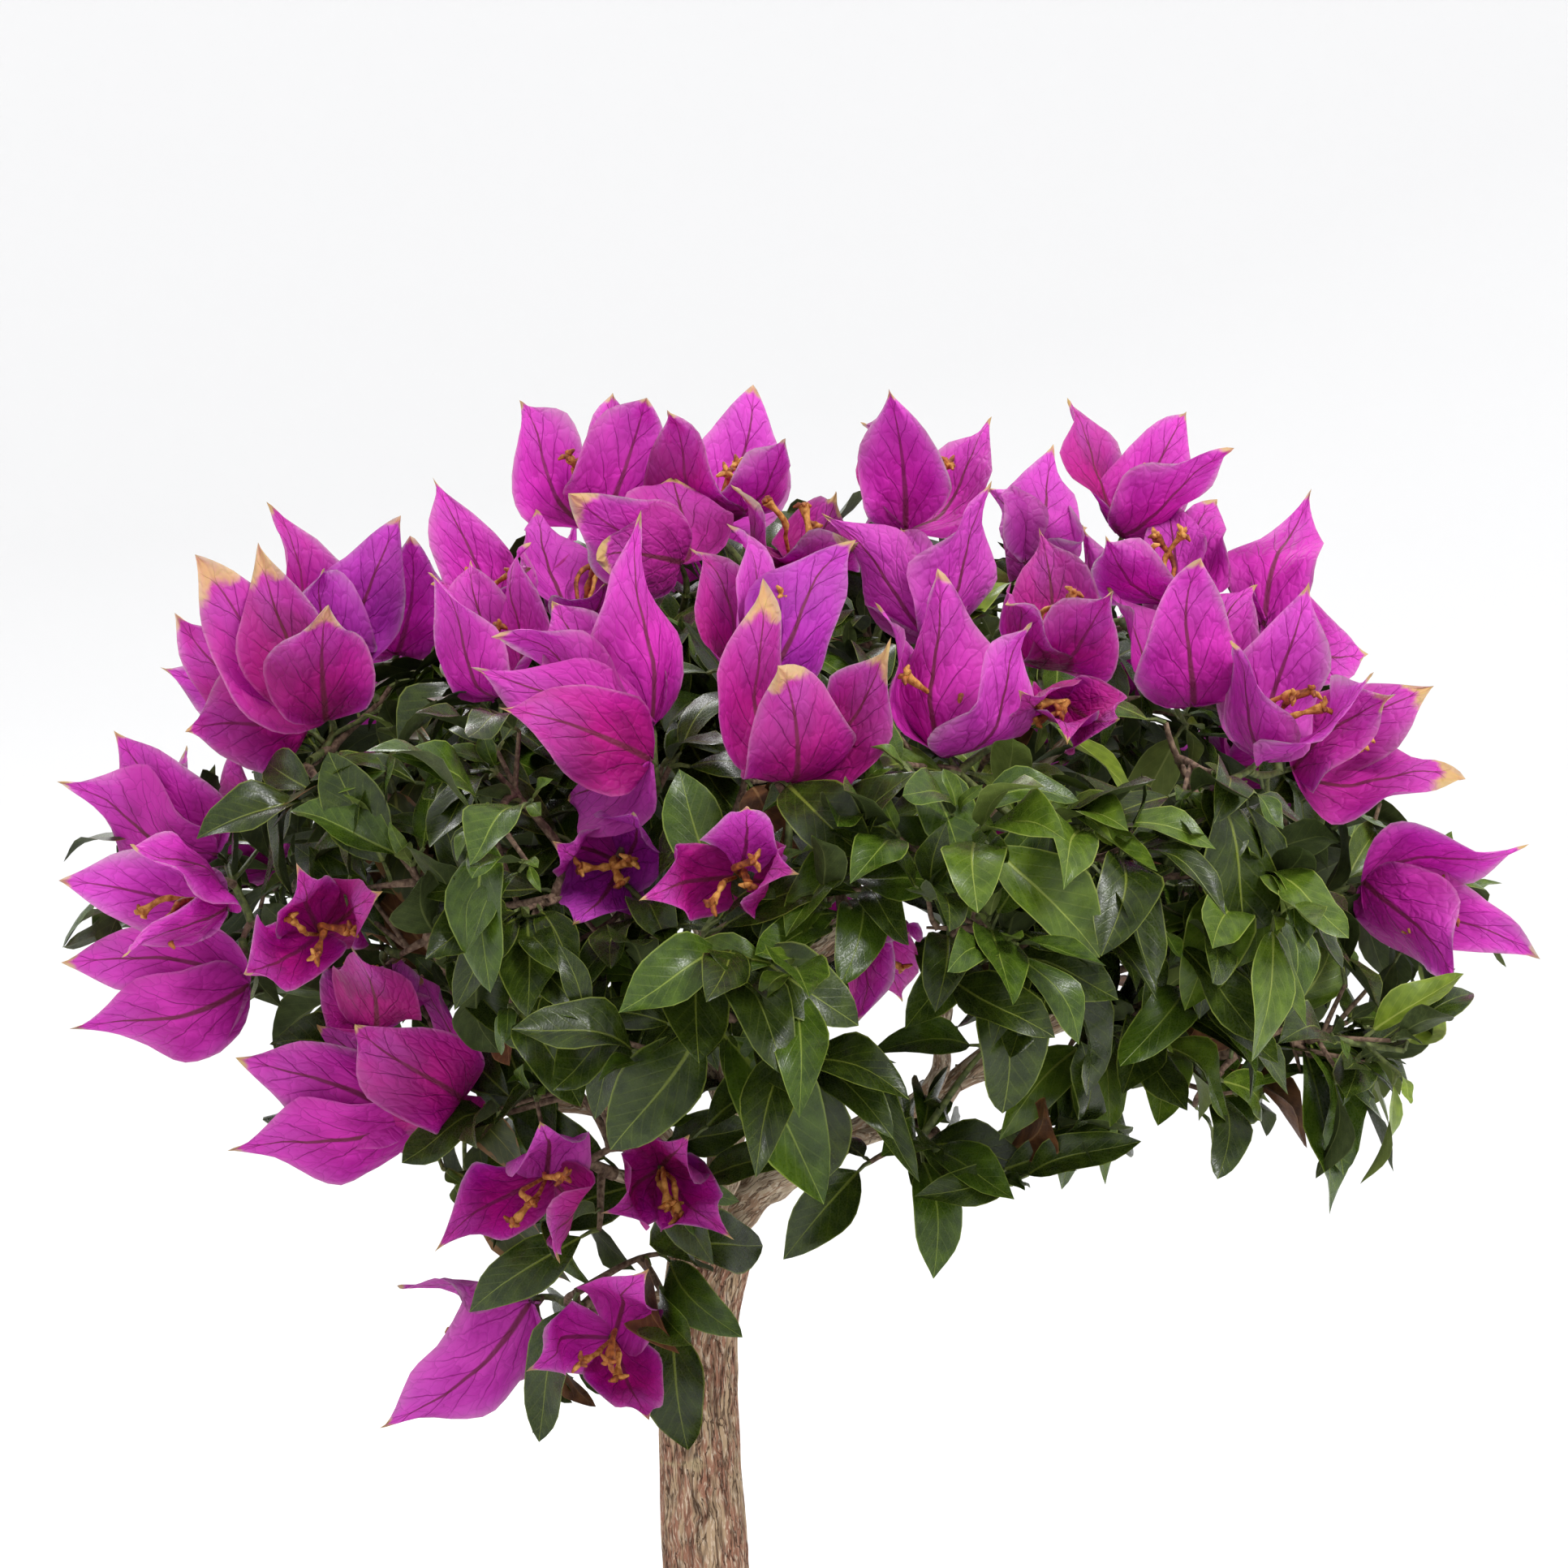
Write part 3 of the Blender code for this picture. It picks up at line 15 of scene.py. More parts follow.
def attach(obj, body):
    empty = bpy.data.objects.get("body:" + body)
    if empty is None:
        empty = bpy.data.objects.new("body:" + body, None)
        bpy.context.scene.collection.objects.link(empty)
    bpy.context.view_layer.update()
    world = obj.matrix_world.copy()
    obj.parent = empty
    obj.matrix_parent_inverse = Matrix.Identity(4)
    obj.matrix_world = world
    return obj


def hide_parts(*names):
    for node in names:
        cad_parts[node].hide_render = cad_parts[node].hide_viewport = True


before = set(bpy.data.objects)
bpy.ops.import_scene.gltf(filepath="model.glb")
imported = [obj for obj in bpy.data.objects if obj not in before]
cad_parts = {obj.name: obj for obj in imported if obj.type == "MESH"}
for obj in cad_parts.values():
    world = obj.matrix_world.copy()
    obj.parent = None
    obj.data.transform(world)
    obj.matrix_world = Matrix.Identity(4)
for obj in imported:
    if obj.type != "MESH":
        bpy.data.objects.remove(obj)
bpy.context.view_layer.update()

# Driving sizes in metres, shares and counts, as the source has them
SOIL_LEVEL = 0.066
SOIL_GAP = 0.0003
POT_LENGTH = 0.220
POT_DEPTH = 0.165
POT_HEIGHT = 0.072
POT_TAPER = 0.010
POT_WALL = 0.0075
POT_CORNER = 0.022
LIP_PROUD = 0.004
LIP_HEIGHT = 0.011
FOOT_HEIGHT = 0.006
FOOT_INSET = 0.006
TRUNK_RADIUS = 0.0094
TRUNK_FLARE = 0.0075
FLARE_HEIGHT = 0.011
ROOT_LOBES = 5
ROOT_LOBE_DEPTH = 0.2
BOUGH_KNEE = 0.0016
STEM_SHARE = 0.6
LEAF_LENGTH = 0.031
LEAF_WIDTH = 0.0145
BRACT_LENGTH = 0.037
BRACT_WIDTH = 0.029
DEPTH_SHARE = 0.75
SHOOT_SPACING = 0.019
END_SHARES = (0.45, 0.95)
SPIRAL_PLACES = 56
SPIRAL_SPAN = 0.86
HIDDEN_DEPTH = 0.038
HIDDEN_SLANT = 0.72
HIDDEN_TURN = 1.1
BLOOM_SHELL = (0.150, 0.128, 0.112)

# Sizes, shares, steps and counts that the source doesn't have, with the ranges of what is drawn
SHOWN_WIDTH = 0.0155
LEAF_SHEET = 0.0003
BRACT_SHEET = 0.00025
LEAF_LENGTHS = (0.76, 1.14)
END_LENGTHS = (0.82, 1.10)
LEAF_SLANTS = (0.85, 1.25)
SLANT_SPREAD = (-0.2, 0.2)
LEAF_STEP = 0.0056
BARE_SHARE = 0.3
BOUGH_BARE_SHARE = 0.45
BLOOM_LEAF_SHARES = (0.2, 0.82)
LEAF_WIDTHS = (0.66, 0.99)
BRACT_WIDTHS = (0.78, 1.0)
BRACT_OVERLAP = 0.06
BRACT_DROP = 0.0005
FACING_SLIMNESS = 0.70
OTHER_SLIMNESS = 0.88
STALK_SHARE = 0.14
STALK_RISE = 0.03
STALK_BEND = 0.012
BUD_LENGTHS = (0.3, 0.45)
INNER_REACH = 0.10
# Left of this, leaves take darker tones: painted shade on the side that the light doesn't reach
PAINTED_SHADE_SIDE = 0.03
SIDE_TWIGS = 2
SIDE_PLACES = (0.35, 0.85)
SIDE_LENGTHS = (0.010, 0.018)
SIDE_LEAF_SIZE = 0.92
SHOOT_STEPS = 8
SIDE_STEPS = 4
CURVE_REACH = 0.8
TRIES_EACH = 60
CUT_POINTS = 6
STEM_RADII = (0.0017, 0.0012)
SHOOT_RADII = (0.0011, 0.0006)
CUT_RADIUS = 0.0003
SIDE_RADII = (0.0007, 0.0005)
STALK_RADII = (0.00055, 0.0005, 0.0004)
FLOWER_STALK_RADII = (0.0004, 0.00055)
FLOWER_BENDS = ((-1.2, 1.2), (-1.2, 1.2), (-1.6, 0.4))
FLOWER_RADII = (0.0005, 0.0007, 0.0008, 0.0006, 0.0007, 0.0010, 0.0012)
FLOWER_SWELLS = (0.7, 1.3)
FLOWER_LENGTHS = (0.007, 0.0112)
FLOWER_START = 0.001
FLOWER_FOOT = 0.24
FLOWER_RISE = 0.0024
LOBE_LENGTHS = (0.0020, 0.0034)
LOBE_RADII = (0.0006, 0.0007, 0.0003)
GRAIN_SIZES = (0.0007, 0.0019)
GRAINS = 900
SOIL_SKIRT = 0.012
SOIL_CLEAR = 0.0004
SOIL_SINK = 0.003
SOIL_LOW = 0.0006
SOIL_NOISE = ((0.0009, 90), (0.0007, 330), (0.0004, 900))
TRUNK_CLEAR = 0.018
TRUNK_SIDES = 128
BOUGH_SIDES = 24
LEAF_GRID = (11, 4)
BRACT_GRID = (18, 10)
POT_STEPS = 12
POT_UNEVENNESS = 0.0036
POT_WAVES = 22.0
SOIL_GRID = (150, 112)
MOST_TRIANGLES = 190000
SHARP_ANGLE = math.radians(75)
POT_SHARP = math.radians(80)
BAKE_CELLS = 3
BAKE_EDGE = 0.03

# How leaves hang and face, and how far they and the twigs keep off the shown bracts
DROOPS = (-0.25, 0.55)
END_DROOPS = (-0.1, 0.4)
INWARD_LIMIT = -0.3
SHOWN_FACING = 0.7
BRACT_FACING = 0.5
PINWHEELS = (0.25, 0.45)
SCREEN_SPOTS = ((0.2, 58), (0.5, 58), (0.75, 38))
ROOM_SHARES = (0.2, 0.5, 0.75, 1.0)
ROOM_MARGIN = 0.004
SINK_MARGINS = (0.003, 0.03)
SINK_CLEAR = 0.005
DEAD_SHARE = 0.22

# Seeds of what is drawn
KNEE_SEED = 11
BARK_SEED = 101
BOUGH_LEAF_SEED = 77
FILL_SEED = 79
GRAIN_SEED = 5

# The cove, and the two lights: their place, size and power
COVE_RADIUS = 1.6
COVE_BEND = 1.2
COVE_TOP = 1.6
COVE_FLOOR = -0.0005
COVE_TURNS = 64
COVE_STEPS = 10
COVE_COLOUR = (0.868, 0.868, 0.873, 1.0)
SKY_POWER = 0.9
LIGHTS = {"key": ((0.95, -1.2, 1.7), 0.6, 27), "back": ((-0.6, 1.2, 1.6), 0.9, 17)}

# The front view that places are read off: its side in steps, and its real size at the trunk's plane
VIEW_STEPS = 1932
VIEW_WIDTH = 0.367
VIEW_DISTANCE = 1.02
VIEW_MIDDLE = Vector((-0.0036, 0.0, 0.2915))
FILM_WIDTH = 36.0

# The crown's middle, the angle between one leaf and the next, the span that phases are drawn from, the
# directions up and to the camera, and the one that a tube's first side faces
CROWN_HEART = Vector((-0.004, 0.0, 0.235))
GOLDEN_ANGLE = math.radians(137.5)
TURN = 6.3
UP = Vector((0.0, 0.0, 1.0))
EYE = Vector((0.0, -1.0, 0.0))
SEAM = Vector((0.3, 1.0, 0.2))

# The crown's upper and lower edge in the front view, as column and row, for what grows by rule
CROWN_TOP = (
    (70, 1040), (240, 940), (340, 790), (520, 720), (830, 660), (1060, 600), (1330, 600), (1400, 690),
    (1560, 740), (1700, 960), (1900, 1100),
)
CROWN_FOOT = (
    (70, 1200), (240, 1250), (330, 1330), (380, 1430), (520, 1440), (600, 1620), (665, 1785),
    (720, 1740), (850, 1785), (915, 1650), (945, 1540), (1080, 1440), (1145, 1570), (1190, 1480),
    (1300, 1470), (1390, 1440), (1450, 1360), (1500, 1450), (1635, 1495), (1715, 1440), (1760, 1290),
    (1860, 1200),
)

# Trunk: its middle line from the soil to the fork, as column, row and share of the full radius
TRUNK_LINE = (
    (872, 2153, 1.16),
    (873, 2060, 1.06),
    (870, 1932, 1.00),
    (862, 1800, 0.97),
    (860, 1690, 0.96),
    (864, 1610, 0.95),
    (876, 1545, 1.02),
    (890, 1500, 0.78),
)

# Boughs: the limb each grows from, how far along that limb, its tip, and its radius at both ends in mm
BOUGHS = {
    "bough_right": ("trunk", 0.95, (1330, 1235, -28), 4.6, 1.8),
    "bough_left": ("trunk", 0.93, (520, 1040, -14), 4.6, 1.8),
    "bough_centre": ("trunk", 0.97, (905, 905, 4), 4.0, 1.7),
    "bough_front": ("trunk", 0.90, (900, 1225, -74), 3.6, 1.7),
    "bough_back": ("trunk", 0.92, (905, 1140, 78), 3.8, 1.7),
    "bough_low": ("trunk", 0.74, (742, 1592, -16), 2.6, 1.4),
    "bough_far_left": ("bough_left", 0.52, (365, 1160, 2), 2.6, 1.3),
    "bough_lower_left": ("bough_left", 0.30, (600, 1345, -22), 2.4, 1.3),
    "bough_left_front": ("bough_left", 0.38, (560, 1200, -55), 2.4, 1.3),
    "bough_left_back": ("bough_left", 0.45, (480, 1110, 50), 2.5, 1.3),
    "bough_low_front": ("bough_front", 0.22, (752, 1445, -40), 2.2, 1.3),
    "bough_front_left": ("bough_front", 0.50, (745, 1100, -72), 2.4, 1.3),
    "bough_front_right": ("bough_right", 0.55, (1175, 1170, -74), 2.4, 1.3),
    "bough_low_right": ("bough_right", 0.38, (1130, 1385, -34), 2.2, 1.3),
    "bough_right_low": ("bough_right", 0.66, (1500, 1300, -14), 2.2, 1.3),
    "bough_far_right": ("bough_right", 0.80, (1545, 1165, 6), 2.4, 1.3),
    "bough_right_back": ("bough_right", 0.60, (1440, 1120, 58), 2.4, 1.3),
    "bough_right_front": ("bough_right", 0.86, (1430, 1080, -52), 2.2, 1.3),
    "bough_crest_left": ("bough_centre", 0.45, (700, 880, -6), 2.5, 1.3),
    "bough_crest_right": ("bough_centre", 0.52, (1110, 880, 2), 2.5, 1.3),
    "bough_right_top": ("bough_centre", 0.38, (1330, 900, -2), 2.5, 1.3),
    "bough_back_left": ("bough_back", 0.50, (690, 1040, 86), 2.4, 1.3),
    "bough_back_right": ("bough_back", 0.52, (1150, 1030, 88), 2.4, 1.3),
}

# Foliage masses: the bough that carries each, its middle, its reach to the side, in depth and up in mm,
# and how many leafy shoots its rule sends out
MASSES = {
    "foliage_far_left": ("bough_far_left", (270, 1120, 0), (32, 38, 30), 6),
    "foliage_upper_left": ("bough_left", (440, 930, -16), (34, 38, 24), 6),
    "foliage_lower_left": ("bough_lower_left", (520, 1310, -24), (30, 34, 20), 5),
    "foliage_left_front": ("bough_left_front", (500, 1130, -66), (34, 28, 28), 7),
    "foliage_left_back": ("bough_left_back", (390, 1060, 70), (40, 42, 34), 7),
    "foliage_low_left": ("bough_low", (700, 1620, -24), (26, 24, 20), 3),
    "foliage_low_front": ("bough_low_front", (700, 1420, -52), (32, 26, 18), 4),
    "foliage_front_left": ("bough_front_left", (700, 1060, -96), (38, 26, 34), 8),
    "foliage_front": ("bough_front", (930, 1180, -112), (34, 24, 40), 8),
    "foliage_front_right": ("bough_front_right", (1190, 1080, -106), (36, 26, 36), 8),
    "foliage_low_right": ("bough_low_right", (1170, 1400, -48), (34, 26, 14), 3),
    "foliage_right_low": ("bough_right_low", (1560, 1280, -26), (36, 32, 20), 6),
    "foliage_far_right": ("bough_far_right", (1620, 1090, 4), (32, 34, 28), 6),
    "foliage_right_front": ("bough_right_front", (1480, 1020, -76), (36, 28, 32), 7),
    "foliage_right": ("bough_right", (1370, 1180, -62), (30, 24, 24), 5),
    "foliage_right_back": ("bough_right_back", (1500, 1050, 80), (42, 40, 34), 7),
    "foliage_crest_left": ("bough_crest_left", (630, 835, 10), (36, 54, 22), 7),
    "foliage_crest": ("bough_centre", (880, 790, 24), (34, 56, 22), 8),
    "foliage_crest_right": ("bough_crest_right", (1130, 815, 28), (34, 56, 22), 8),
    "foliage_right_top": ("bough_right_top", (1400, 835, 16), (34, 54, 24), 8),
    "foliage_back_left": ("bough_back_left", (620, 960, 98), (42, 38, 36), 7),
    "foliage_back": ("bough_back", (900, 1000, 114), (36, 38, 42), 8),
    "foliage_back_right": ("bough_back_right", (1200, 940, 100), (42, 38, 36), 7),
}

# Blooms that the front view shows: the tone, the place of the base with its depth in mm, and the tips of
# the three bracts, each as column, row and whether it leans towards the eye (-1) or away from it (1)
BLOOMS = {
    "foliage_far_left": (
        ("m", (262, 1048, 2), (70, 963, -1), (140, 900, 1), (230, 918, 1)),
        ("m", (275, 1118, -40), (72, 1085, 1), (150, 1180, -1), (160, 1040, -1)),
        ("m", (300, 1215, -10), (85, 1268, -1), (75, 1186, 1), (215, 1290, 1)),
    ),
    "foliage_upper_left": (
        ("v", (415, 815, -4), (328, 618, 1), (494, 635, 1), (400, 700, -1)),
        ("D", (400, 880, -40), (240, 683, -1), (318, 668, 1), (405, 745, -1)),
        ("d", (372, 895, -14), (197, 822, 1), (228, 902, -1), (215, 755, -1)),
        ("m", (490, 800, 22), (452, 668, 1), (530, 690, 1), (505, 660, -1)),
    ),
    "foliage_lower_left": (
        ("m", (500, 1380, -40), (280, 1418, -1), (290, 1303, 1), (390, 1262, 1)),
        ("d", (562, 1352, -54), (437, 1262, -1), (470, 1420, 1), (520, 1200, 1)),
    ),
    "foliage_left_front": (
        ("d", (395, 1150, -60), (365, 1063, -1), (300, 1200, -1), (472, 1098, -1)),
        ("d", (462, 1262, -46), (432, 1166, -1), (400, 1190, 1), (500, 1180, 1)),
    ),
    "foliage_low_left": (
        ("p", (648, 1606, -22), (467, 1760, -1), (489, 1584, 1), (560, 1710, 1)),
        ("m", (755, 1650, -44), (800, 1563, -1), (648, 1690, -1), (800, 1750, -1)),
    ),
    "foliage_low_front": (
        ("d", (672, 1450, -64), (535, 1543, -1), (665, 1381, -1), (690, 1557, -1)),
        ("d", (815, 1440, -66), (740, 1495, -1), (905, 1528, -1), (850, 1398, -1)),
    ),
    "foliage_crest_left": (
        ("m", (612, 852, -62), (527, 705, -1), (655, 668, 1), (580, 690, 1)),
        ("m", (602, 765, -26), (533, 588, 1), (530, 720, -1), (655, 700, -1)),
        ("d", (715, 760, -10), (660, 627, 1), (770, 660, 1), (745, 720, -1)),
    ),
    "foliage_crest": (
        ("m", (735, 645, 16), (640, 493, 1), (755, 484, 1), (797, 490, -1)),
        ("m", (880, 640, 14), (822, 505, -1), (928, 474, 1), (968, 540, -1)),
        ("M", (835, 690, -22), (700, 608, -1), (735, 690, -1), (830, 590, 1)),
        ("D", (975, 690, 0), (900, 597, -1), (1030, 605, 1), (1058, 668, -1)),
    ),
    "foliage_front_left": (
        ("m", (800, 885, -92), (790, 628, 1), (605, 785, -1), (680, 740, 1)),
        ("m", (795, 935, -104), (614, 872, -1), (580, 822, 1), (700, 985, 1)),
        ("v", (765, 1065, -84), (680, 1036, -1), (705, 1140, -1), (780, 1000, -1)),
    ),
    "foliage_front": (
        ("v", (935, 840, -86), (850, 675, 1), (895, 645, 1), (1055, 665, 1)),
        ("D", (975, 955, -112), (958, 820, -1), (1098, 785, -1), (940, 712, 1)),
        ("d", (910, 1080, -122), (787, 1110, -1), (920, 993, -1), (985, 1077, -1)),
    ),
    "foliage_crest_right": (
        ("m", (1115, 645, 6), (1095, 479, -1), (1060, 520, 1), (1222, 513, 1)),
        ("p", (1140, 780, -30), (1222, 592, -1), (1012, 632, 1), (1110, 650, 1)),
    ),
    "foliage_back": (
        ("m", (1062, 1140, 84), (1052, 1262, -1), (1112, 1235, 1), (1120, 1150, -1)),
    ),
    "foliage_front_right": (
        ("m", (1165, 925, -96), (1155, 700, 1), (1078, 742, 1), (1272, 766, -1)),
        ("d", (1285, 815, -58), (1372, 728, -1), (1238, 745, -1), (1280, 650, 1)),
        ("d", (1310, 866, -84), (1380, 885, -1), (1255, 850, -1), (1315, 918, -1)),
    ),
    "foliage_right_top": (
        ("m", (1385, 655, 4), (1315, 490, 1), (1462, 507, 1), (1521, 552, -1)),
        ("p", (1265, 690, 30), (1298, 547, 1), (1215, 600, 1), (1340, 650, 1)),
        ("m", (1440, 740, -22), (1500, 615, 1), (1362, 660, -1), (1440, 625, 1)),
        ("m", (1470, 862, -48), (1480, 687, -1), (1362, 720, 1), (1550, 720, 1)),
    ),
    "foliage_right_front": (
        ("m", (1560, 765, -14), (1616, 602, 1), (1500, 690, 1), (1686, 806, 1)),
        ("p", (1560, 930, -50), (1515, 790, -1), (1613, 717, 1), (1693, 828, -1)),
        ("M", (1600, 945, -28), (1720, 855, -1), (1806, 960, -1), (1767, 845, 1)),
    ),
    "foliage_far_right": (
        ("m", (1686, 1090, -4), (1884, 1040, 1), (1898, 1182, 1), (1790, 1215, -1)),
    ),
}

# Leaf sprays that the front view shows, in the same way: the tone may be left to the rule; a given tone holds
# the leaf's own colour together with painted light and shade, as light or dark as the leaf looks in the front
# view
SPRAYS = {
    "foliage_low_right": (
        ("mid", (1135, 1415, -62), (1150, 1576, -1), (1250, 1478, -1), (1132, 1345, 1), (1085, 1425, -1)),
        ("cool", (1072, 1432, -50), (965, 1552, -1), (1016, 1420, 1)),
        ("mid", (1215, 1292, -60), (1068, 1300, -1)),
    ),
    "foliage_front_right": (
        ("cool", (1222, 1182, -112), (1235, 1372, -1), (1115, 1268, -1), (1378, 1232, -1)),
        ("light", (1200, 1030, -126), (1205, 1125, -1), (1285, 970, -1), (1312, 1035, -1), (1355, 1180, -1)),
    ),
    "foliage_right_low": (
        ("mid", (1600, 1262, -20), (1717, 1444, -1), (1655, 1448, -1), (1638, 1497, 1)),
        ("", (1500, 1330, -34), (1500, 1453, -1), (1545, 1380, 1)),
    ),
    "foliage_right": (
        ("", (1318, 1290, -52), (1362, 1460, -1), (1308, 1466, 1)),
        ("", (1470, 1212, -84), (1380, 1314, -1), (1575, 1310, -1)),
    ),
    "foliage_right_front": (
        ("", (1572, 1072, -84), (1503, 1201, -1), (1602, 1175, -1), (1378, 1030, -1)),
    ),
    "foliage_low_left": (
        ("", (812, 1545, -30), (915, 1648, -1), (940, 1535, 1)),
        ("", (826, 1618, -34), (848, 1787, -1)),
        ("", (712, 1592, -34), (664, 1777, -1)),
    ),
    "foliage_low_front": (
        ("", (738, 1516, -48), (578, 1617, -1)),
        ("", (625, 1372, -48), (495, 1433, -1)),
    ),
    "foliage_front": (
        ("", (880, 1255, -122), (752, 1417, -1), (960, 1432, -1), (1015, 1484, 1)),
        ("", (905, 1165, -130), (762, 1248, -1), (1058, 1264, -1), (870, 1235, -1)),
        ("", (955, 960, -116), (1070, 1060, -1)),
        ("", (1065, 1095, -108), (1035, 1215, -1), (1120, 1165, -1)),
    ),
    "foliage_front_left": (
        ("", (650, 1120, -102), (524, 1182, -1), (560, 1245, -1), (650, 1255, -1)),
    ),
    "foliage_upper_left": (
        ("", (392, 985, -50), (242, 1034, -1), (475, 950, -1), (525, 1075, -1), (330, 940, 1)),
    ),
}

# More leafy shoots that close the crown's hollow behind the front masses, as column, row and depth in mm
FILLS = {
    "foliage_crest": ((870, 900, -28), (950, 930, -46), (800, 930, -44), (890, 860, -52)),
    "foliage_crest_left": ((720, 900, -44), (640, 900, -40)),
    "foliage_crest_right": ((1040, 900, -42), (1120, 890, -50)),
    "foliage_front": ((900, 1010, -76), (985, 1000, -80)),
    "foliage_front_left": ((760, 980, -72),),
    "foliage_front_right": ((1200, 960, -70),),
}

# Places where the front view looks through the crown, as column, row and reach, and how far leaves keep off
GAPS = ((1068, 1150, 26), (1110, 1190, 26), (1080, 1262, 20), (1210, 1345, 30), (1160, 1290, 14))
GAP_MARGIN = 20

# The tones of leaves, as the colour kinds of their two sides, and those of bracts: mid, violet, deep, pink,
# and mid and deep with a dry tip
LEAF_TONES = {
    "dark": (0, 6), "cool": (1, 6), "mid": (2, 6), "light": (3, 7), "young": (4, 7), "worn": (5, 6),
    "dead": (8, 8),
}
BRACT_TONES = {"m": 0, "v": 1, "d": 2, "p": 3, "M": 4, "D": 5}

# The tones that the rule picks: a bud's by its shoot's, the hidden blooms' in turn, those of blooms whose
# bracts may differ, the tones and the share of the bracts that do, the leaves' inside the crown, and those of
# sprays on its shaded and its lit side, whose darker and lighter tones are painted shade and painted light
BUD_TONES = {"young": "young", "light": "young", "dark": "mid", "cool": "mid"}
HIDDEN_TONES = "mpdmvM"
PLAIN_TONES = "mvdp"
ODD_TONES = "mdp"
ODD_SHARE = 0.3
INNER_TONES = ("dark", "cool", "mid")
SPRAY_TONES = (INNER_TONES, ("mid", "cool", "light"))

# A shoot's tone: the share that is young outside and inside the crown, how far past it each next tone goes,
# where the worn ones start, and where the draws on the shaded side start, which keeps its leaves darker as
# painted shade
FRESH_SHARES = (0.05, 0.02)
TONE_STEPS = ((0.0, "young"), (0.17, "light"), (0.42, "mid"), (0.66, "cool"))
WORN_START = 0.97
PAINTED_SHADE_START = 0.38

# Blades: the half width along them, how each kind waves and creases, and the ranges of what is drawn
LEAF_PROFILE = (
    (0.0, 0.05), (0.05, 0.26), (0.12, 0.53), (0.21, 0.77), (0.32, 0.94), (0.44, 1.0), (0.56, 0.97),
    (0.68, 0.85), (0.78, 0.67), (0.87, 0.43), (0.94, 0.20), (1.0, 0.0),
)
BRACT_PROFILE = (
    (0.0, 0.12), (0.02, 0.40), (0.06, 0.66), (0.13, 0.86), (0.23, 0.98), (0.34, 1.0), (0.46, 0.95),
    (0.58, 0.83), (0.70, 0.62), (0.81, 0.37), (0.90, 0.16), (0.96, 0.05), (1.0, 0.0),
)
LEAF_FORM = {
    "crease": 1.15, "wave": 0.20, "turns": 1.2, "ripple": 0.004, "crumple": 0.003, "uneven": 0.04,
    "sway": 0.07, "twist": 0.8, "taper": 0.95, "spread": 0.2,
}
LEAF_DRAWS = {"arch": (0.03, 0.17), "bend": (-0.03, 0.05), "cup": (0.06, 0.55), "bulge": (0.02, 0.16)}
BRACT_FORM = {
    "crease": 1.3, "bulge": -0.05, "wave": 0.31, "turns": 1.35, "ripple": 0.014, "crumple": 0.011,
    "uneven": 0.06, "sway": 0.08, "twist": 0.8, "taper": 1.08, "spread": 0.24,
}
BRACT_DRAWS = {"arch": (-0.10, 0.03), "bend": (-0.01, -0.10), "cup": (-0.05, 0.42)}

# Colours of the leaves' and the bracts' sides, in the order of their kinds, as levels of a byte
LEAF_COLOURS = (
    ("leaf_dark", (30, 42, 8), (49, 63, 12), (120, 130, 50), 0.30),
    ("leaf_cool", (35, 49, 11), (56, 71, 17), (126, 138, 58), 0.29),
    ("leaf_mid", (46, 66, 12), (68, 90, 20), (134, 150, 62), 0.30),
    ("leaf_light", (62, 83, 18), (86, 108, 27), (150, 162, 74), 0.32),
    ("leaf_young", (96, 117, 32), (122, 143, 42), (172, 182, 90), 0.36),
    ("leaf_worn", (46, 54, 20), (68, 76, 30), (124, 124, 62), 0.38, (118, 84, 44)),
    ("leaf_under", (54, 64, 32), (70, 82, 42), (108, 118, 66), 0.6, None, True),
    ("leaf_under_young", (98, 112, 52), (114, 130, 62), (150, 162, 90), 0.6, None, True),
    ("leaf_dead", (74, 44, 26), (112, 72, 42), (150, 112, 72), 0.6, None, True),
)
BRACT_COLOURS = (
    ("bract_mid", (202, 46, 168), (166, 26, 136), (98, 8, 72)),
    ("bract_violet", (174, 44, 168), (140, 28, 140), (84, 8, 78)),
    ("bract_deep", (170, 20, 116), (130, 10, 88), (74, 4, 44)),
    ("bract_pink", (206, 68, 182), (178, 46, 158), (118, 18, 94)),
    ("bract_mid_dry", (184, 40, 146), (154, 26, 120), (98, 10, 68), 0.12),
    ("bract_deep_dry", (168, 26, 118), (134, 14, 94), (76, 6, 48), 0.15),
)

# Bark: the depth of its plates, fine ridges and grooves, the noise of each round the limb and along it, the
# grooves' width in that noise, how far they wander, and the heights of the pale scars round the trunk
PLATE, FINE, GROOVE = 0.00020, 0.00010, 0.00034
PLATE_NOISE, FINE_NOISE, GROOVE_NOISE = (260, 60), (1500, 130), (700, 60)
GROOVE_WIDTH = 0.17
GROOVE_WANDER = 0.0011
SCAR_HEIGHTS = (0.1335, 0.1545)

# Limbs: the step between their rings, the share of the relief, the collar at their start, and how far they
# swell where they bore twigs and along what length; then what holds for the finer boughs and for all limbs
TRUNK_LOOKS = {"ring": 0.0007, "relief": 1.0, "collar": 0.0, "swell": (0.01, 0.05), "swell_reach": 0.005}
BOUGH_LOOKS = {"ring": 0.0015, "relief": 0.75, "collar": 0.45, "swell": (0.04, 0.14), "swell_reach": 0.0022}
FINER_RELIEF = 0.5
SWELL_SPACING = 0.011
COLLAR_REACH = 1.6


# Places in the front view


def seen(column, row, depth_mm):
    """The place at a column and row of the front view, at a depth behind the trunk's plane."""
    depth = depth_mm / 1000
    scale = VIEW_WIDTH / VIEW_STEPS * (1 + depth / VIEW_DISTANCE)
    half = VIEW_STEPS / 2
    return VIEW_MIDDLE + Vector(((column - half) * scale, depth, (half - row) * scale))


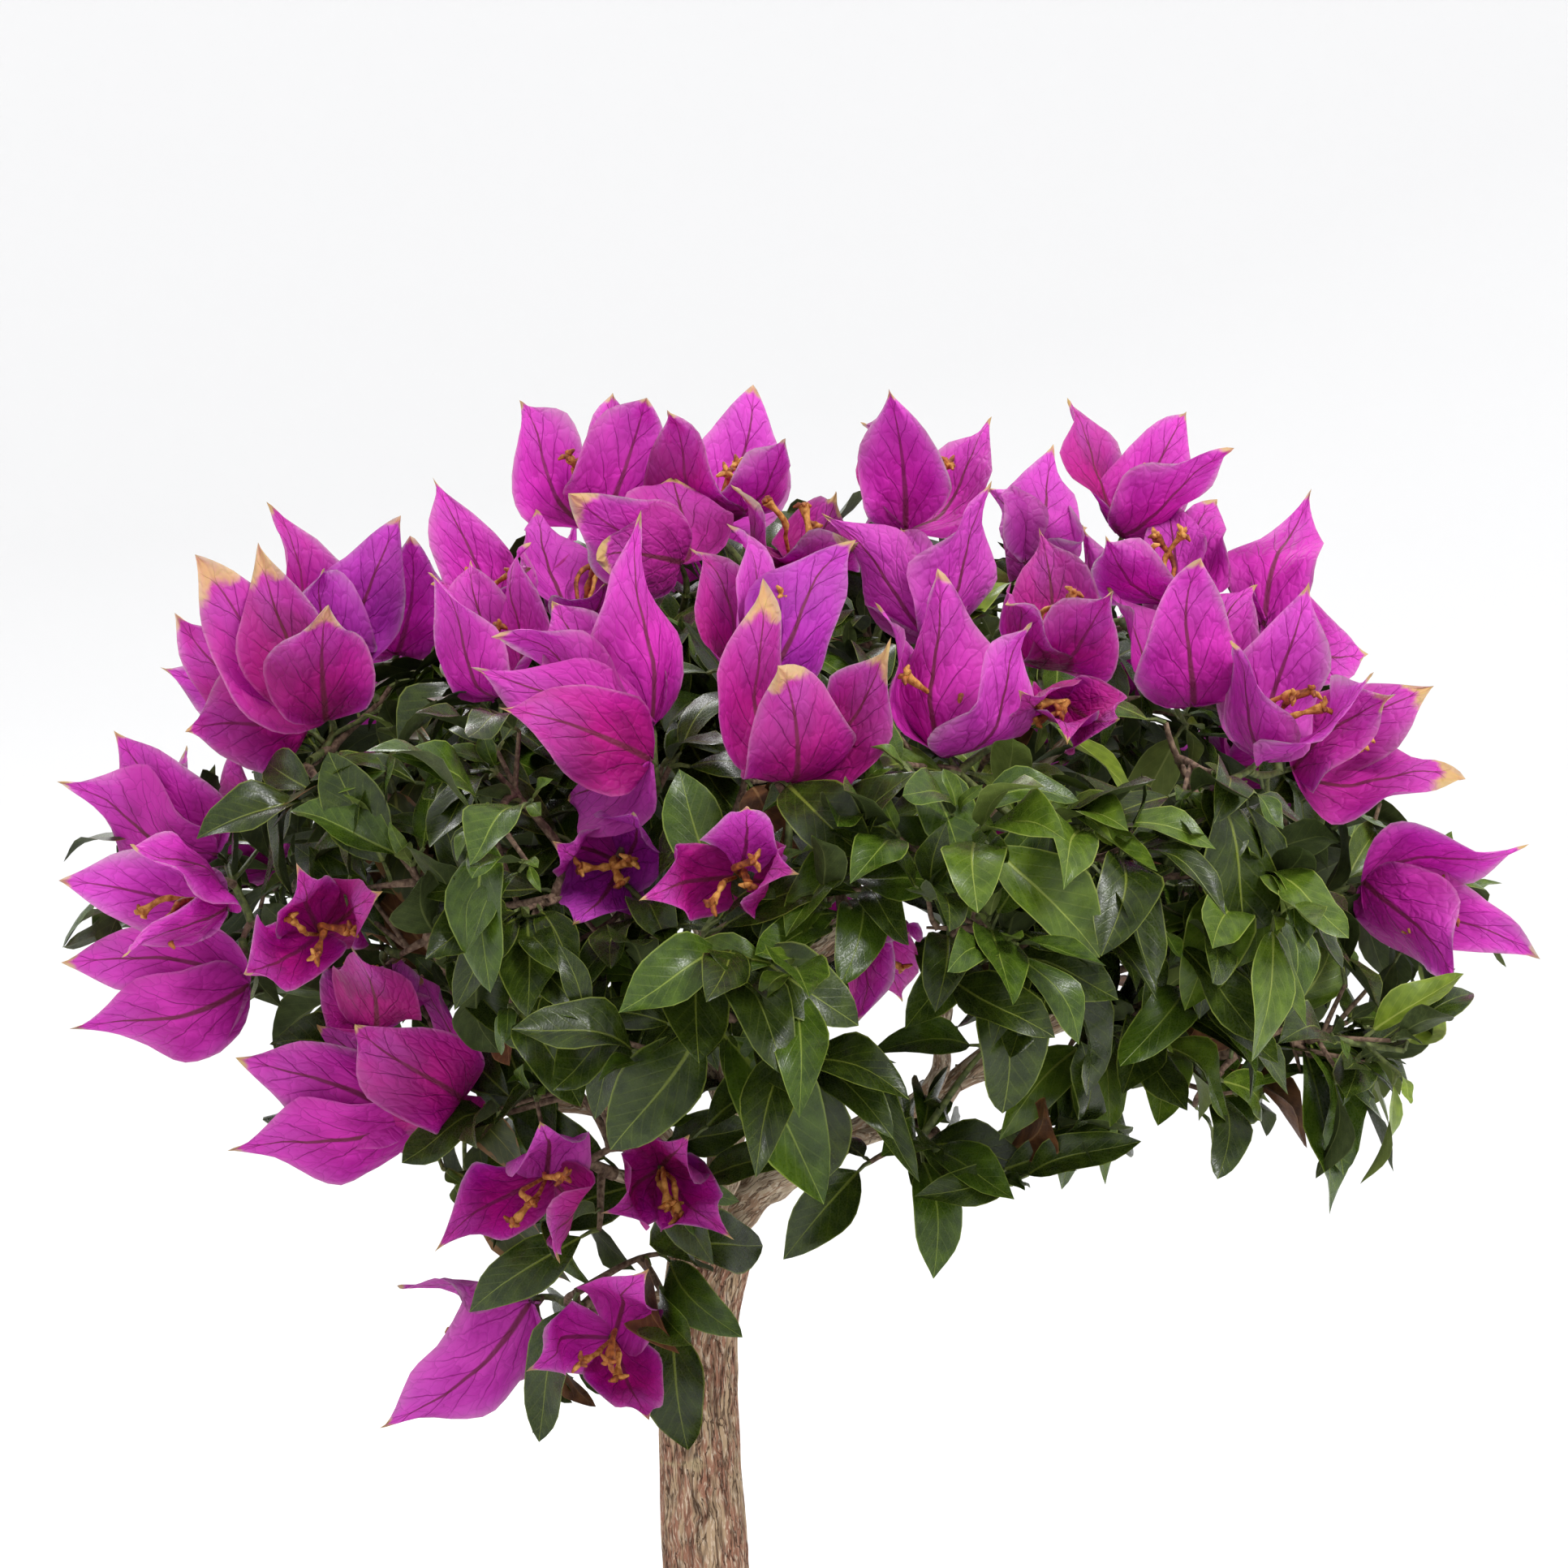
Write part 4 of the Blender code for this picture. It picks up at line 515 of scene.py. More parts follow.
def in_view(point):
    """The column and row of a place in the front view."""
    scale = VIEW_WIDTH / VIEW_STEPS * (1 + point.y / VIEW_DISTANCE)
    column = (point.x - VIEW_MIDDLE.x) / scale + VIEW_STEPS / 2
    return column, VIEW_STEPS / 2 - (point.z - VIEW_MIDDLE.z) / scale


def edge_row(edge, column):
    """The row of an edge of the crown at a column of the front view."""
    for (left, start), (right, end) in zip(edge, edge[1:]):
        if left <= column <= right:
            return start + (end - start) * (column - left) / (right - left)
    return None


def within_edges(point):
    """Whether a place stays between the crown's edges in the front view."""
    column, row = in_view(point)
    foot = edge_row(CROWN_FOOT, column)
    return foot is not None and edge_row(CROWN_TOP, column) < row < foot


# Small vector helpers


def across(vector, direction):
    """The part of a vector at a right angle to a direction, one unit long."""
    rest = vector - direction * vector.dot(direction)
    return (rest if rest.length >= 1e-6 else direction.orthogonal()).normalized()


def spoke(axis, angle):
    """The unit vector at an angle round an axis, counted from its upper side."""
    side = across(UP, axis)
    return side * math.cos(angle) + axis.cross(side) * math.sin(angle)


def polar(angle, radius, height=0.0):
    """A point at an angle, radius and height round the upright axis."""
    return Vector((math.cos(angle) * radius, math.sin(angle) * radius, height))


def outward(place):
    """The direction out of the crown at a place."""
    return (place - CROWN_HEART).normalized()


def curve_between(start, leave, end, arrive, steps):
    """Points of a smooth curve that leaves and arrives in the given directions."""
    reach = (end - start).length * CURVE_REACH
    points = []
    for index in range(steps + 1):
        t = index / steps
        a = 2 * t ** 3 - 3 * t ** 2 + 1
        b = t ** 3 - 2 * t ** 2 + t
        c = -2 * t ** 3 + 3 * t ** 2
        d = t ** 3 - t ** 2
        points.append(start * a + leave * (reach * b) + end * c + arrive * (reach * d))
    return points


def smooth_line(points, steps):
    """A smooth curve through points, with equal steps between each two."""
    line = []
    for index in range(len(points) - 1):
        before, start = points[max(index - 1, 0)], points[index]
        end, after = points[index + 1], points[min(index + 2, len(points) - 1)]
        for step in range(steps):
            t = step / steps
            bend = (2 * before - 5 * start + 4 * end - after) * t ** 2
            twist = (3 * start - before - 3 * end + after) * t ** 3
            line.append((2 * start + (end - before) * t + bend + twist) / 2)
    return line + [points[-1]]


def line_length(points):
    """The length of a polyline."""
    return sum((b - a).length for a, b in zip(points, points[1:]))


def tangent(points, index):
    """The direction of a polyline at one of its points."""
    return (points[min(index + 1, len(points) - 1)] - points[max(index - 1, 0)]).normalized()


def along(points, share):
    """The point and direction at a share of a polyline's steps."""
    place = share * (len(points) - 1)
    index = min(int(place), len(points) - 2)
    step = points[index + 1] - points[index]
    return points[index] + step * (place - index), step.normalized()


def heading_of(tips, base):
    """The middle direction of some tips from their base."""
    return sum(((tip - base).normalized() for tip in tips), Vector()).normalized()


# Nodes of procedural finishes


def shade(levels):
    """A colour given as levels of a byte, as the linear value that a shader takes."""
    shares = [level / 255 for level in levels]
    return (*(s / 12.92 if s <= 0.04045 else ((s + 0.055) / 1.055) ** 2.4 for s in shares), 1.0)


class Wire:
    """A node's output, with arithmetic that adds the nodes for it. Its space says how its noise is read."""

    def __init__(self, socket, space):
        self.socket = socket
        self.space = space

    def __add__(self, other):
        return calculate("ADD", self, other)

    def __sub__(self, other):
        return calculate("SUBTRACT", self, other)

    def __mul__(self, other):
        return calculate("MULTIPLY", self, other)

    def __truediv__(self, other):
        return calculate("DIVIDE", self, other)

    def __abs__(self):
        return calculate("ABSOLUTE", self)


def put(kind, inputs, output=0, **settings):
    """Adds a node behind the wires among its inputs, and gives the wire of one of its outputs."""
    first = next(value for value in inputs.values() if isinstance(value, Wire))
    tree = first.socket.id_data
    node = tree.nodes.new("ShaderNode" + kind)
    for key, value in settings.items():
        setattr(node, key, value)
    for key, value in inputs.items():
        if isinstance(value, Wire):
            tree.links.new(value.socket, node.inputs[key])
        else:
            node.inputs[key].default_value = value
    return Wire(node.outputs[output], first.space)


def calculate(operation, *values):
    """A sum, product or the like of wires and numbers."""
    return put("Math", dict(enumerate(values)), operation=operation)


def mix(share, low, high):
    """Goes from one colour to another, where a colour is a wire or levels of a byte."""
    low, high = (one if isinstance(one, Wire) else shade(one) for one in (low, high))
    return put("Mix", {0: share, 6: low, 7: high}, 2, data_type="RGBA")


def ramp(value, start, end, low=0.0, high=1.0):
    """Goes smoothly from low to high while the value goes from start to end."""
    inputs = {0: value, 1: start, 2: end, 3: low, 4: high}
    return put("MapRange", inputs, interpolation_type="SMOOTHSTEP")


def clouds(vector, scale, detail=3.0):
    """Soft noise."""
    inputs = {"Vector": vector, "Scale": scale, "Detail": detail, "Roughness": 0.55}
    return put("TexNoise", inputs, noise_dimensions=vector.space)


def cells(vector, scale, feature="F1"):
    """The distances in a pattern of cells."""
    inputs = {"Vector": vector, "Scale": scale}
    return put("TexVoronoi", inputs, feature=feature, voronoi_dimensions=vector.space)


def stretch(vector, *factors):
    """A vector with its three parts scaled."""
    return put("Mapping", {"Vector": vector, "Scale": factors})


def warp(vector, source, scale, reach):
    """A vector moved by a noise that is read at a source."""
    shift = put("TexNoise", {"Vector": source, "Scale": scale}, 1, noise_dimensions=vector.space)
    small = put("VectorMath", {0: shift, 3: reach}, operation="SCALE")
    return put("VectorMath", {0: vector, 1: small}, operation="ADD")


def part(vector, index):
    """One of a vector's three parts."""
    return put("SeparateXYZ", {0: vector}, index)


class Finish:
    """A procedural material, with the wires that its nodes start from."""

    def __init__(self, name, roughness, specular):
        self.material = bpy.data.materials.new(name)
        self.material.use_nodes = True
        self.tree = self.material.node_tree
        self.shader = self.tree.nodes["Principled BSDF"]
        self.shader.inputs["Roughness"].default_value = roughness
        self.shader.inputs["Specular IOR Level"].default_value = specular

    def source(self, kind, output, space="3D", **settings):
        """The wire of a node that has no inputs."""
        node = self.tree.nodes.new("ShaderNode" + kind)
        for key, value in settings.items():
            setattr(node, key, value)
        return Wire(node.outputs[output], space)

    def place(self):
        """A point's place on the object."""
        return self.source("TexCoord", "Object")

    def blade(self):
        """A blade's map, the distance from its midrib, the way along it and the share of its half width."""
        uv = self.source("UVMap", 0, "2D", uv_map="blade")
        share = self.source("UVMap", 0, "2D", uv_map="share")
        return uv, abs(part(uv, 0) - 0.5) * 2.0, part(uv, 1), abs(part(share, 0) - 0.5) * 2.0

    def feed(self, name, wire):
        """Links a wire to one of the shader's inputs."""
        self.tree.links.new(wire.socket, self.shader.inputs[name])

    def bump(self, height, strength, distance):
        """Fine relief from a height."""
        inputs = {"Height": height, "Strength": strength, "Distance": distance}
        self.feed("Normal", put("Bump", inputs))


# Finishes


def leaf_finish(name, dark, light, vein, roughness, spots=None, under=False):
    """A leaf's side: mottled green, a pale midrib, side veins that rise to the tip and a thin pale rim."""
    finish = Finish(name, roughness, 0.2 if under else 0.32)
    uv, off, way, edge = finish.blade()
    long = stretch(uv, 1.0, 2.0, 1.0)
    base = mix(ramp(clouds(long, 4.5, 1.5), 0.22, 0.78), dark, light)
    wave = calculate("PINGPONG", (way - off * 0.42) * 8.0, 0.5)
    side = ramp(wave, 0.0, 0.10, 1.0, 0.0) * ramp(edge, 0.55, 0.95, 1.0, 0.0) * 0.16
    base = mix(side, base, vein)
    rib = ramp(off / ramp(way, 0.0, 1.0, 0.072, 0.013), 0.35, 1.0, 0.7, 0.0)
    base = mix(rib, base, vein)
    base = mix(ramp(edge, 0.93, 0.985, 0.0, 0.65), base, vein)
    if spots:
        base = mix(ramp(clouds(uv, 5.0, 2.0) * 0.9 + edge, 1.26, 1.36), base, spots)
    finish.feed("Base Color", base)
    fine = clouds(long, 28.0, 1.0)
    finish.feed("Roughness", ramp(fine, 0.3, 0.7, roughness - 0.06, roughness + 0.10))
    veins = side + rib
    finish.bump(fine * 0.25 + veins if under else fine * 0.25 - veins, 0.35, 0.0003)
    return finish.material


def bract_finish(name, main, deep, vein, dry=0.025):
    """A bract's side: papery, with a brown midrib, a few dark side veins, fine netting and a dry tip; paler
    patches towards the tip are partly painted light, and the pale rim is painted rim light.
    """
    finish = Finish(name, 0.58, 0.16)
    uv, off, way, edge = finish.blade()
    mottle = clouds(uv, 3.0, 2.0)
    base = mix(ramp(mottle, 0.3, 0.7), main, deep)
    base = mix(ramp(way, 0.0, 0.30, 0.55, 0.0), base, deep)
    # Paler in patches towards the tip: partly the bract's own paler tone, partly painted light shining
    # through the bract
    base = mix(ramp(way, 0.35, 0.95) * ramp(mottle, 0.25, 0.75, 0.25, 0.6), base, (216, 96, 202))
    bent = warp(uv, uv, 7.0, 0.10)
    net = cells(bent, 11.0, "DISTANCE_TO_EDGE")
    rise = part(bent, 1) - calculate("POWER", off, 0.8) * 0.55
    side = ramp(calculate("PINGPONG", rise * 4.6, 0.5), 0.0, 0.055, 0.8, 0.0)
    side = side * ramp(edge, 0.35, 0.9, 1.0, 0.15)
    base = mix(calculate("MAXIMUM", side, ramp(net, 0.0, 0.055, 0.32, 0.0)), base, vein)
    rib = ramp(off / ramp(way, 0.0, 0.95, 0.095, 0.016), 0.4, 1.0, 0.9, 0.0)
    base = mix(rib * ramp(way, 0.75, 0.95, 1.0, 0.2), base, (98, 38, 50))
    # A pale rim: painted rim light along the thin edge
    base = mix(ramp(edge, 0.93, 0.99, 0.0, 0.25), base, (196, 90, 170))
    reach = way + clouds(uv, 6.0) * 0.16 + edge * 0.05
    tan = mix(mottle, (214, 178, 114), (172, 122, 68))
    finish.feed("Base Color", mix(ramp(reach, 1.04 - dry, 1.10 - dry), base, tan))
    height = clouds(uv, 7.0, 2.5) * 1.8 + ramp(net, 0.0, 0.25) * 0.26 - side * 0.5
    finish.bump(height, 0.62, 0.0007)
    finish.shader.inputs["Subsurface Weight"].default_value = 0.25
    finish.shader.inputs["Subsurface Radius"].default_value = (0.0028, 0.0007, 0.0024)
    finish.shader.inputs["Subsurface Scale"].default_value = 1.0
    return finish.material


def bark_finish(name, groove, rind, flake, warm):
    """Bark with reddish fissures along the limb, flaky pale ridges and pale scars round the trunk."""
    finish = Finish(name, 0.85, 0.3)
    grain = finish.source("Attribute", 1, attribute_name="grain")
    waved = warp(grain, stretch(grain, 1.0, 1.0, 0.8), 150.0, 0.0034)
    ridge = clouds(stretch(waved, 1.0, 1.0, 0.085), 680.0, 4.0)
    fleck = clouds(stretch(waved, 1.0, 1.0, 0.2), 2000.0)
    broad = clouds(stretch(grain, 1.0, 1.0, 0.4), 120.0, 2.0)
    tint = clouds(stretch(waved, 1.0, 1.0, 0.25), 330.0)
    base = mix(ramp(tint, 0.42, 0.56), rind, warm)
    base = mix(ramp(fleck, 0.50, 0.66, 0.0, 0.85), base, flake)
    crack = ramp(abs(ridge - 0.5), 0.0, 0.035, 0.9, 0.0) * ramp(broad, 0.35, 0.5, 0.5, 1.0)
    base = mix(crack, base, groove)
    base = mix(finish.source("Attribute", 2, attribute_name="groove") * 0.75, base, groove)
    for height in SCAR_HEIGHTS:
        far = abs(part(finish.place(), 2) - height) + clouds(grain, 240.0) * 0.006
        scar = ramp(far, 0.0024, 0.0040, 0.75, 0.0) * ramp(broad, 0.48, 0.6) * fleck
        base = mix(scar * 1.6, base, (208, 188, 146))
    finish.feed("Base Color", base)
    finish.bump(fleck * 0.7 - crack, 0.8, 0.0005)
    return finish.material


def wood_finish(name, dark, light, roughness):
    """The rind of a twig or of a dried flower: fine streaks and flecks."""
    finish = Finish(name, roughness, 0.35)
    place = finish.place()
    finish.feed("Base Color", mix(ramp(clouds(place, 700.0, 4.0), 0.35, 0.65), dark, light))
    finish.bump(clouds(place, 1800.0), 0.5, 0.0003)
    return finish.material


def clay_finish():
    """Unglazed stoneware: warm brown with fine specks, a paler worn edge and faint throwing marks."""
    finish = Finish("stoneware", 0.62, 0.4)
    place = finish.place()
    cloud = clouds(place, 28.0, 5.0)
    speck = clouds(place, 900.0, 2.0)
    base = mix(ramp(cloud, 0.3, 0.7), (104, 66, 52), (132, 90, 70))
    base = mix(ramp(speck, 0.64, 0.72, 0.0, 0.8), base, (52, 36, 32))
    base = mix(ramp(clouds(place, 1500.0, 2.0), 0.66, 0.74, 0.0, 0.5), base, (184, 150, 124))
    worn = ramp(finish.source("NewGeometry", "Pointiness"), 0.505, 0.56)
    finish.feed("Base Color", mix(worn * 0.35, base, (168, 128, 104)))
    finish.feed("Roughness", ramp(cloud, 0.3, 0.7, 0.55, 0.72))
    marks = clouds(stretch(place, 0.15, 0.15, 1.0), 420.0)
    finish.bump(speck * 0.5 + marks * 0.8, 0.35, 0.0005)
    return finish.material


def earth_finish(name, dark, light):
    """Potting soil or a granule in it: crumbs of brown with paler grains."""
    finish = Finish(name, 0.95, 0.2)
    place = finish.place()
    crumb = cells(place, 520.0)
    base = mix(clouds(place, 60.0, 4.0), dark, light)
    finish.feed("Base Color", mix(ramp(crumb, 0.0, 0.35, 0.5, 0.0), base, (120, 96, 74)))
    finish.bump(crumb + clouds(place, 1400.0, 4.0), 0.9, 0.0008)
    return finish.material


# Joined pieces


def put_in_scene(title, data):
    """An object in the scene with the data given."""
    made = bpy.data.objects.new(title, data)
    bpy.context.scene.collection.objects.link(made)
    return made


class Piece:
    """Faces gathered for one joined object, with their colour kinds and their coordinates."""

    def __init__(self):
        self.chunks = []
        self.count = 0
        self.triangles = 0

    def add(self, points, loops, totals, kinds, coords=None, grain=None):
        """Adds faces: their corners one after another, how many each has, and its colour kind."""
        self.chunks.append((points, loops + self.count, totals, kinds, coords, grain))
        self.count += len(points)
        self.triangles += int(totals.sum() - 2 * len(totals))

    def make(self, title, finishes, cells_across=0, sharp=SHARP_ANGLE):
        """The object; with cells, each colour kind also has its own cell of the bake's map."""
        points, loops, totals, kinds, coords, grain = (
            None if parts[0] is None else np.concatenate(parts) for parts in zip(*self.chunks)
        )
        mesh = bpy.data.meshes.new(title)
        mesh.vertices.add(self.count)
        mesh.vertices.foreach_set("co", points.astype(np.float32).ravel())
        mesh.loops.add(len(loops))
        mesh.loops.foreach_set("vertex_index", loops.astype(np.int32))
        mesh.polygons.add(len(totals))
        mesh.polygons.foreach_set("loop_start", (np.cumsum(totals) - totals).astype(np.int32))
        mesh.polygons.foreach_set("material_index", kinds.astype(np.int32))
        mesh.update(calc_edges=True)
        maps = {}
        if coords is not None:
            maps["blade"] = coords[:, :2]
            if coords.shape[1] > 2:
                maps["share"] = coords[:, 2:]
        if cells_across:
            kind = np.repeat(kinds, totals)
            cell = np.stack((kind % cells_across, kind // cells_across), axis=1)
            spots = BAKE_EDGE + (1 - 2 * BAKE_EDGE) * maps["blade"]
            maps["OFBake"] = (cell + spots) / cells_across
        for name, spots in maps.items():
            layer = mesh.uv_layers.new(name=name)
            layer.uv.foreach_set("vector", spots.astype(np.float32).ravel())
        if grain is not None:
            grain = grain.astype(np.float32)
            lines = mesh.attributes.new("grain", "FLOAT_VECTOR", "POINT")
            lines.data.foreach_set("vector", grain[:, :3].ravel())
            grooves = mesh.attributes.new("groove", "FLOAT", "POINT")
            grooves.data.foreach_set("value", grain[:, 3].ravel())
        for finish in finishes:
            mesh.materials.append(finish)
        mesh.shade_smooth()
        mesh.set_sharp_from_angle(angle=sharp)
        made = put_in_scene(title, mesh)
        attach(made, "root")
        return made


class Sheaf:
    """Blades of one outline, each two sides that meet at the outline, gathered into joined pieces."""

    def __init__(self, profile, grid, sheet):
        rows, columns = grid
        share = np.linspace(0, 1, rows + 1)
        way = 0.55 * share + 0.225 * (1 - np.cos(np.pi * share))
        over = np.linspace(-1, 1, columns + 1)
        spots = [(v, u, 0.0 if i == 0 else 1.0) for i, v in enumerate(way[:-1]) for u in over]
        tip = len(spots)
        spots.append((1.0, 0.0, 0.0))
        under = {}
        for i in range(1, rows):
            for j in range(1, columns):
                under[i, j] = len(spots)
                spots.append((way[i], over[j], -1.0))

        def corner(i, j, below):
            if i == rows:
                return tip
            upper = i * (columns + 1) + j
            return under.get((i, j), upper) if below else upper

        faces = []
        for i in range(rows):
            for j in range(columns):
                halves = [[(i, j), (i, j + 1), (i + 1, j + 1)]]
                if i < rows - 1:
                    halves.append([(i, j), (i + 1, j + 1), (i + 1, j)])
                for half in halves:
                    faces.append([corner(*spot, False) for spot in half])
                    faces.append([corner(*spot, True) for spot in reversed(half)])
        self.v, self.u, layer = np.array(spots).T
        self.half = np.interp(self.v, *zip(*profile))
        self.layer = layer * (1 - self.u ** 2) * sheet / 2
        self.loops = np.array(faces).ravel()
        self.totals = np.full(len(faces), 3)
        coords = np.stack((0.5 + 0.5 * self.u * self.half, self.v, 0.5 + 0.5 * self.u, self.v), axis=1)
        self.coords = coords[self.loops]
        self.pieces = [Piece()]

    def add(self, base, tip, face, width, form, kinds, rng):
        """Adds a blade: form says how it arches, waves and cups; kinds holds its two sides' colours."""
        chord = tip - base
        length = chord.length
        ahead = chord / length
        over = across(face, ahead)
        side = ahead.cross(over)
        v, u, far = self.v, self.u, np.abs(self.u)
        left = rng.uniform(0, TURN)
        right = rng.uniform(0, TURN)
        phase = np.where(u < 0, left, right)
        belly = np.sin(np.pi * v)
        taper = form["taper"] + form["spread"] * math.sin(left)
        half = width / 2 * self.half ** taper * (1 + form["uneven"] * np.sin(10.0 * v + phase))
        lift = length * (form["arch"] * belly + form["bend"] * np.sin(2 * np.pi * v))
        lift += half * form["cup"] * far ** form["crease"]
        lift += half * form["bulge"] * np.sin(np.pi * far)
        lift += form["wave"] * half * far ** 2.5 * np.sin(form["turns"] * TURN * v + phase)
        lift += length * form["ripple"] * far * np.sin(15.0 * v - 5.0 * far + left)
        crumple = np.sin(21.0 * v + 3.0 * u + left) * np.cos(5.5 * u - 6.0 * v + right)
        lift += length * form["crumple"] * crumple * belly
        sway = length * form["sway"] * rng.uniform(-1, 1) * belly
        twist = form["twist"] * rng.uniform(-1, 1) * v
        reach = half * u * (1 - 0.3 * form["cup"] ** 2)
        points = np.outer(v * length, ahead) + np.outer(reach * np.cos(twist) + sway, side)
        points += np.outer(lift + reach * np.sin(twist) + self.layer, over) + np.array(base)
        if self.pieces[-1].triangles > MOST_TRIANGLES:
            self.pieces.append(Piece())
        sides = np.tile(kinds, len(self.totals) // 2)
        self.pieces[-1].add(points, self.loops, self.totals, sides, self.coords)


def vary(form, draws, rng):
    """A blade's form with what is drawn for it."""
    return {**form, **{key: rng.uniform(*span) for key, span in draws.items()}}


def grid_loops(rows, columns):
    """The corners of the quads of a grid, one row after another."""
    low = np.arange(rows)[:, None] * (columns + 1) + np.arange(columns)
    return np.stack((low, low + 1, low + columns + 2, low + columns + 1), axis=2).ravel()


TUBES = {}


def tube_faces(rings, sides):
    """The faces of a closed tube, kept for the next tube of that size."""
    if (rings, sides) not in TUBES:
        loops = []
        coords = []
        for ring in range(rings - 1):
            low, high = ring / (rings - 1), (ring + 1) / (rings - 1)
            for corner in range(sides):
                a = ring * sides + corner
                b = ring * sides + (corner + 1) % sides
                u = corner / sides
                loops += [a, b, b + sides, a + sides]
                coords += [(u, low), (u + 1 / sides, low), (u + 1 / sides, high), (u, high)]
        totals = [4] * ((rings - 1) * sides) + [sides, sides]
        loops += [*reversed(range(sides)), *range((rings - 1) * sides, rings * sides)]
        coords += [(0.5, 0.0)] * sides + [(0.5, 1.0)] * sides
        TUBES[rings, sides] = np.array(loops), np.array(totals), np.array(coords)
    return TUBES[rings, sides]


def add_tube(piece, points, radii, sides, kind):
    """Adds a closed round twig through points."""
    spokes = []
    side = across(SEAM, tangent(points, 0))
    angles = np.arange(sides) * 2 * math.pi / sides
    for ring, radius in enumerate(radii):
        direction = tangent(points, ring)
        side = across(side, direction)
        other = direction.cross(side)
        spokes.append((np.outer(np.cos(angles), side) + np.outer(np.sin(angles), other)) * radius)
    rings = (np.array(points)[:, None, :] + np.array(spokes)).reshape(-1, 3)
    loops, totals, coords = tube_faces(len(points), sides)
    piece.add(rings, loops, totals, np.full(len(totals), kind), coords)


# The limbs


def plan_trunk():
    """The trunk: it leans and bends as the front view shows, and spreads into root lobes at the soil."""
    places = [seen(column, row, 0) for column, row, _ in TRUNK_LINE]
    places[0].z = SOIL_LEVEL + SOIL_GAP
    line = smooth_line(places, 2)
    shares = smooth_line([Vector((share, 0, 0)) for _, _, share in TRUNK_LINE], 2)
    foot = line[0].z
    radii = []
    for point, share in zip(line, shares):
        flare = TRUNK_FLARE * math.exp(-(point.z - foot) / FLARE_HEIGHT)
        radii.append(TRUNK_RADIUS * share.x + flare)

    def lobes(share, angle):
        place, _ = along(line, share)
        strength = ROOT_LOBE_DEPTH * math.exp(-(place.z - foot) / FLARE_HEIGHT)
        uneven = 0.02 * math.cos(3 * angle + share * (len(line) - 1) * 0.5)
        return 1 + strength * math.cos(ROOT_LOBES * angle + 0.6) + uneven

    return {"points": line, "radii": radii, "lobes": lobes, "foot": foot, **TRUNK_LOOKS}


def plan_boughs(limbs):
    """Each bough is one tapering curve from its parent's middle line to its tip."""
    for order, (name, (parent, share, tip, thick, thin)) in enumerate(BOUGHS.items()):
        start, leave = along(limbs[parent]["points"], share)
        end = seen(*tip)
        main = parent == "trunk"
        straight = (end - start).normalized()
        leave = (leave * (0.35 if main else 0.6) + straight).normalized()
        arrive = (straight + UP * 0.35 + across(end - CROWN_HEART, UP) * 0.25).normalized()
        steps = 7 if main else 4
        points = curve_between(start, leave, end, arrive, steps)
        rng = random.Random(order + KNEE_SEED)
        for index in range(1, steps):
            knee = Vector([rng.uniform(-1, 1) for _ in range(3)])
            points[index] += knee * (BOUGH_KNEE if main else BOUGH_KNEE / 2)
        radii = [(thick + (thin - thick) * (k / steps) ** 0.8) / 1000 for k in range(steps + 1)]
        limbs[name] = {"points": points, "radii": radii, "lobes": None, "foot": None, **BOUGH_LOOKS}
        if not main:
            limbs[name]["relief"] = FINER_RELIEF


def limb_mesh(piece, limb, sides, order):
    """A limb's bark: a smooth tube with fissures and ridges along it, and rings where it bore twigs.

    The trunk, which has root lobes, is also flat at its foot and round at its end.
    """
    line = smooth_line(limb["points"], max(2, int(90 / len(limb["points"]))))
    knots = np.linspace(0, 1, len(limb["radii"]))
    length = line_length(line)
    count = max(12, int(length / limb["ring"]))
    rng = random.Random(order + BARK_SEED)
    spots = int(length / SWELL_SPACING)
    swells = [(rng.uniform(0.05, 0.95), rng.uniform(*limb["swell"])) for _ in range(spots)]
    points = []
    grain = []
    side = across(SEAM, tangent(line, 0))
    run = 0.0
    before = line[0]
    for ring in range(count + 1):
        share = ring / count
        centre, direction = along(line, share)
        run += (centre - before).length
        before = centre
        side = across(side, direction)
        other = direction.cross(side)
        radius = float(np.interp(share, knots, limb["radii"]))
        for place, swell in swells:
            radius *= 1 + swell * math.exp(-((share - place) * length / limb["swell_reach"]) ** 2)
        radius *= 1 + limb["collar"] * math.exp(-run / (limb["radii"][0] * COLLAR_REACH))
        for corner in range(sides):
            angle = 2 * math.pi * corner / sides
            x, y = math.cos(angle) * radius, math.sin(angle) * radius
            bend = GROOVE_WANDER * noise.noise(Vector((x * 130 + order, y * 130, run * 110)))
            spot = Vector((x + order + bend, y + bend, run))
            ridge, fine, plate = (
                noise.noise(Vector((spot.x * over, spot.y * over, spot.z * up)))
                for over, up in (GROOVE_NOISE, FINE_NOISE, PLATE_NOISE)
            )
            groove = max(0.0, 1 - abs(ridge) / GROOVE_WIDTH)
            relief = (PLATE * plate + FINE * fine - GROOVE * groove) * limb["relief"]
            out = radius + relief
            if limb["lobes"]:
                out = radius * limb["lobes"](share, angle) + relief
                out *= math.sqrt(max(1 - max(share - 0.965, 0.0) / 0.035, 0.0) ** 1.2 + 0.02)
            points.append(centre + (side * math.cos(angle) + other * math.sin(angle)) * out)
            grain.append((x + order * 0.1, y, run, groove))
    points = np.array(points)
    if limb["foot"]:
        points[:sides, 2] = limb["foot"]
    loops, totals, coords = tube_faces(count + 1, sides)
    piece.add(points, loops, totals, np.full(len(totals), min(order, 1)), coords, np.array(grain))


# Places of the shoots


class Shoot:
    """A twig with its line, the blades at its end and the tone of its leaves."""

    def __init__(self, kind, end, tips=(), tone="", points=()):
        self.kind = kind
        self.end = end
        self.tips = tips
        self.tone = tone
        self.points = points


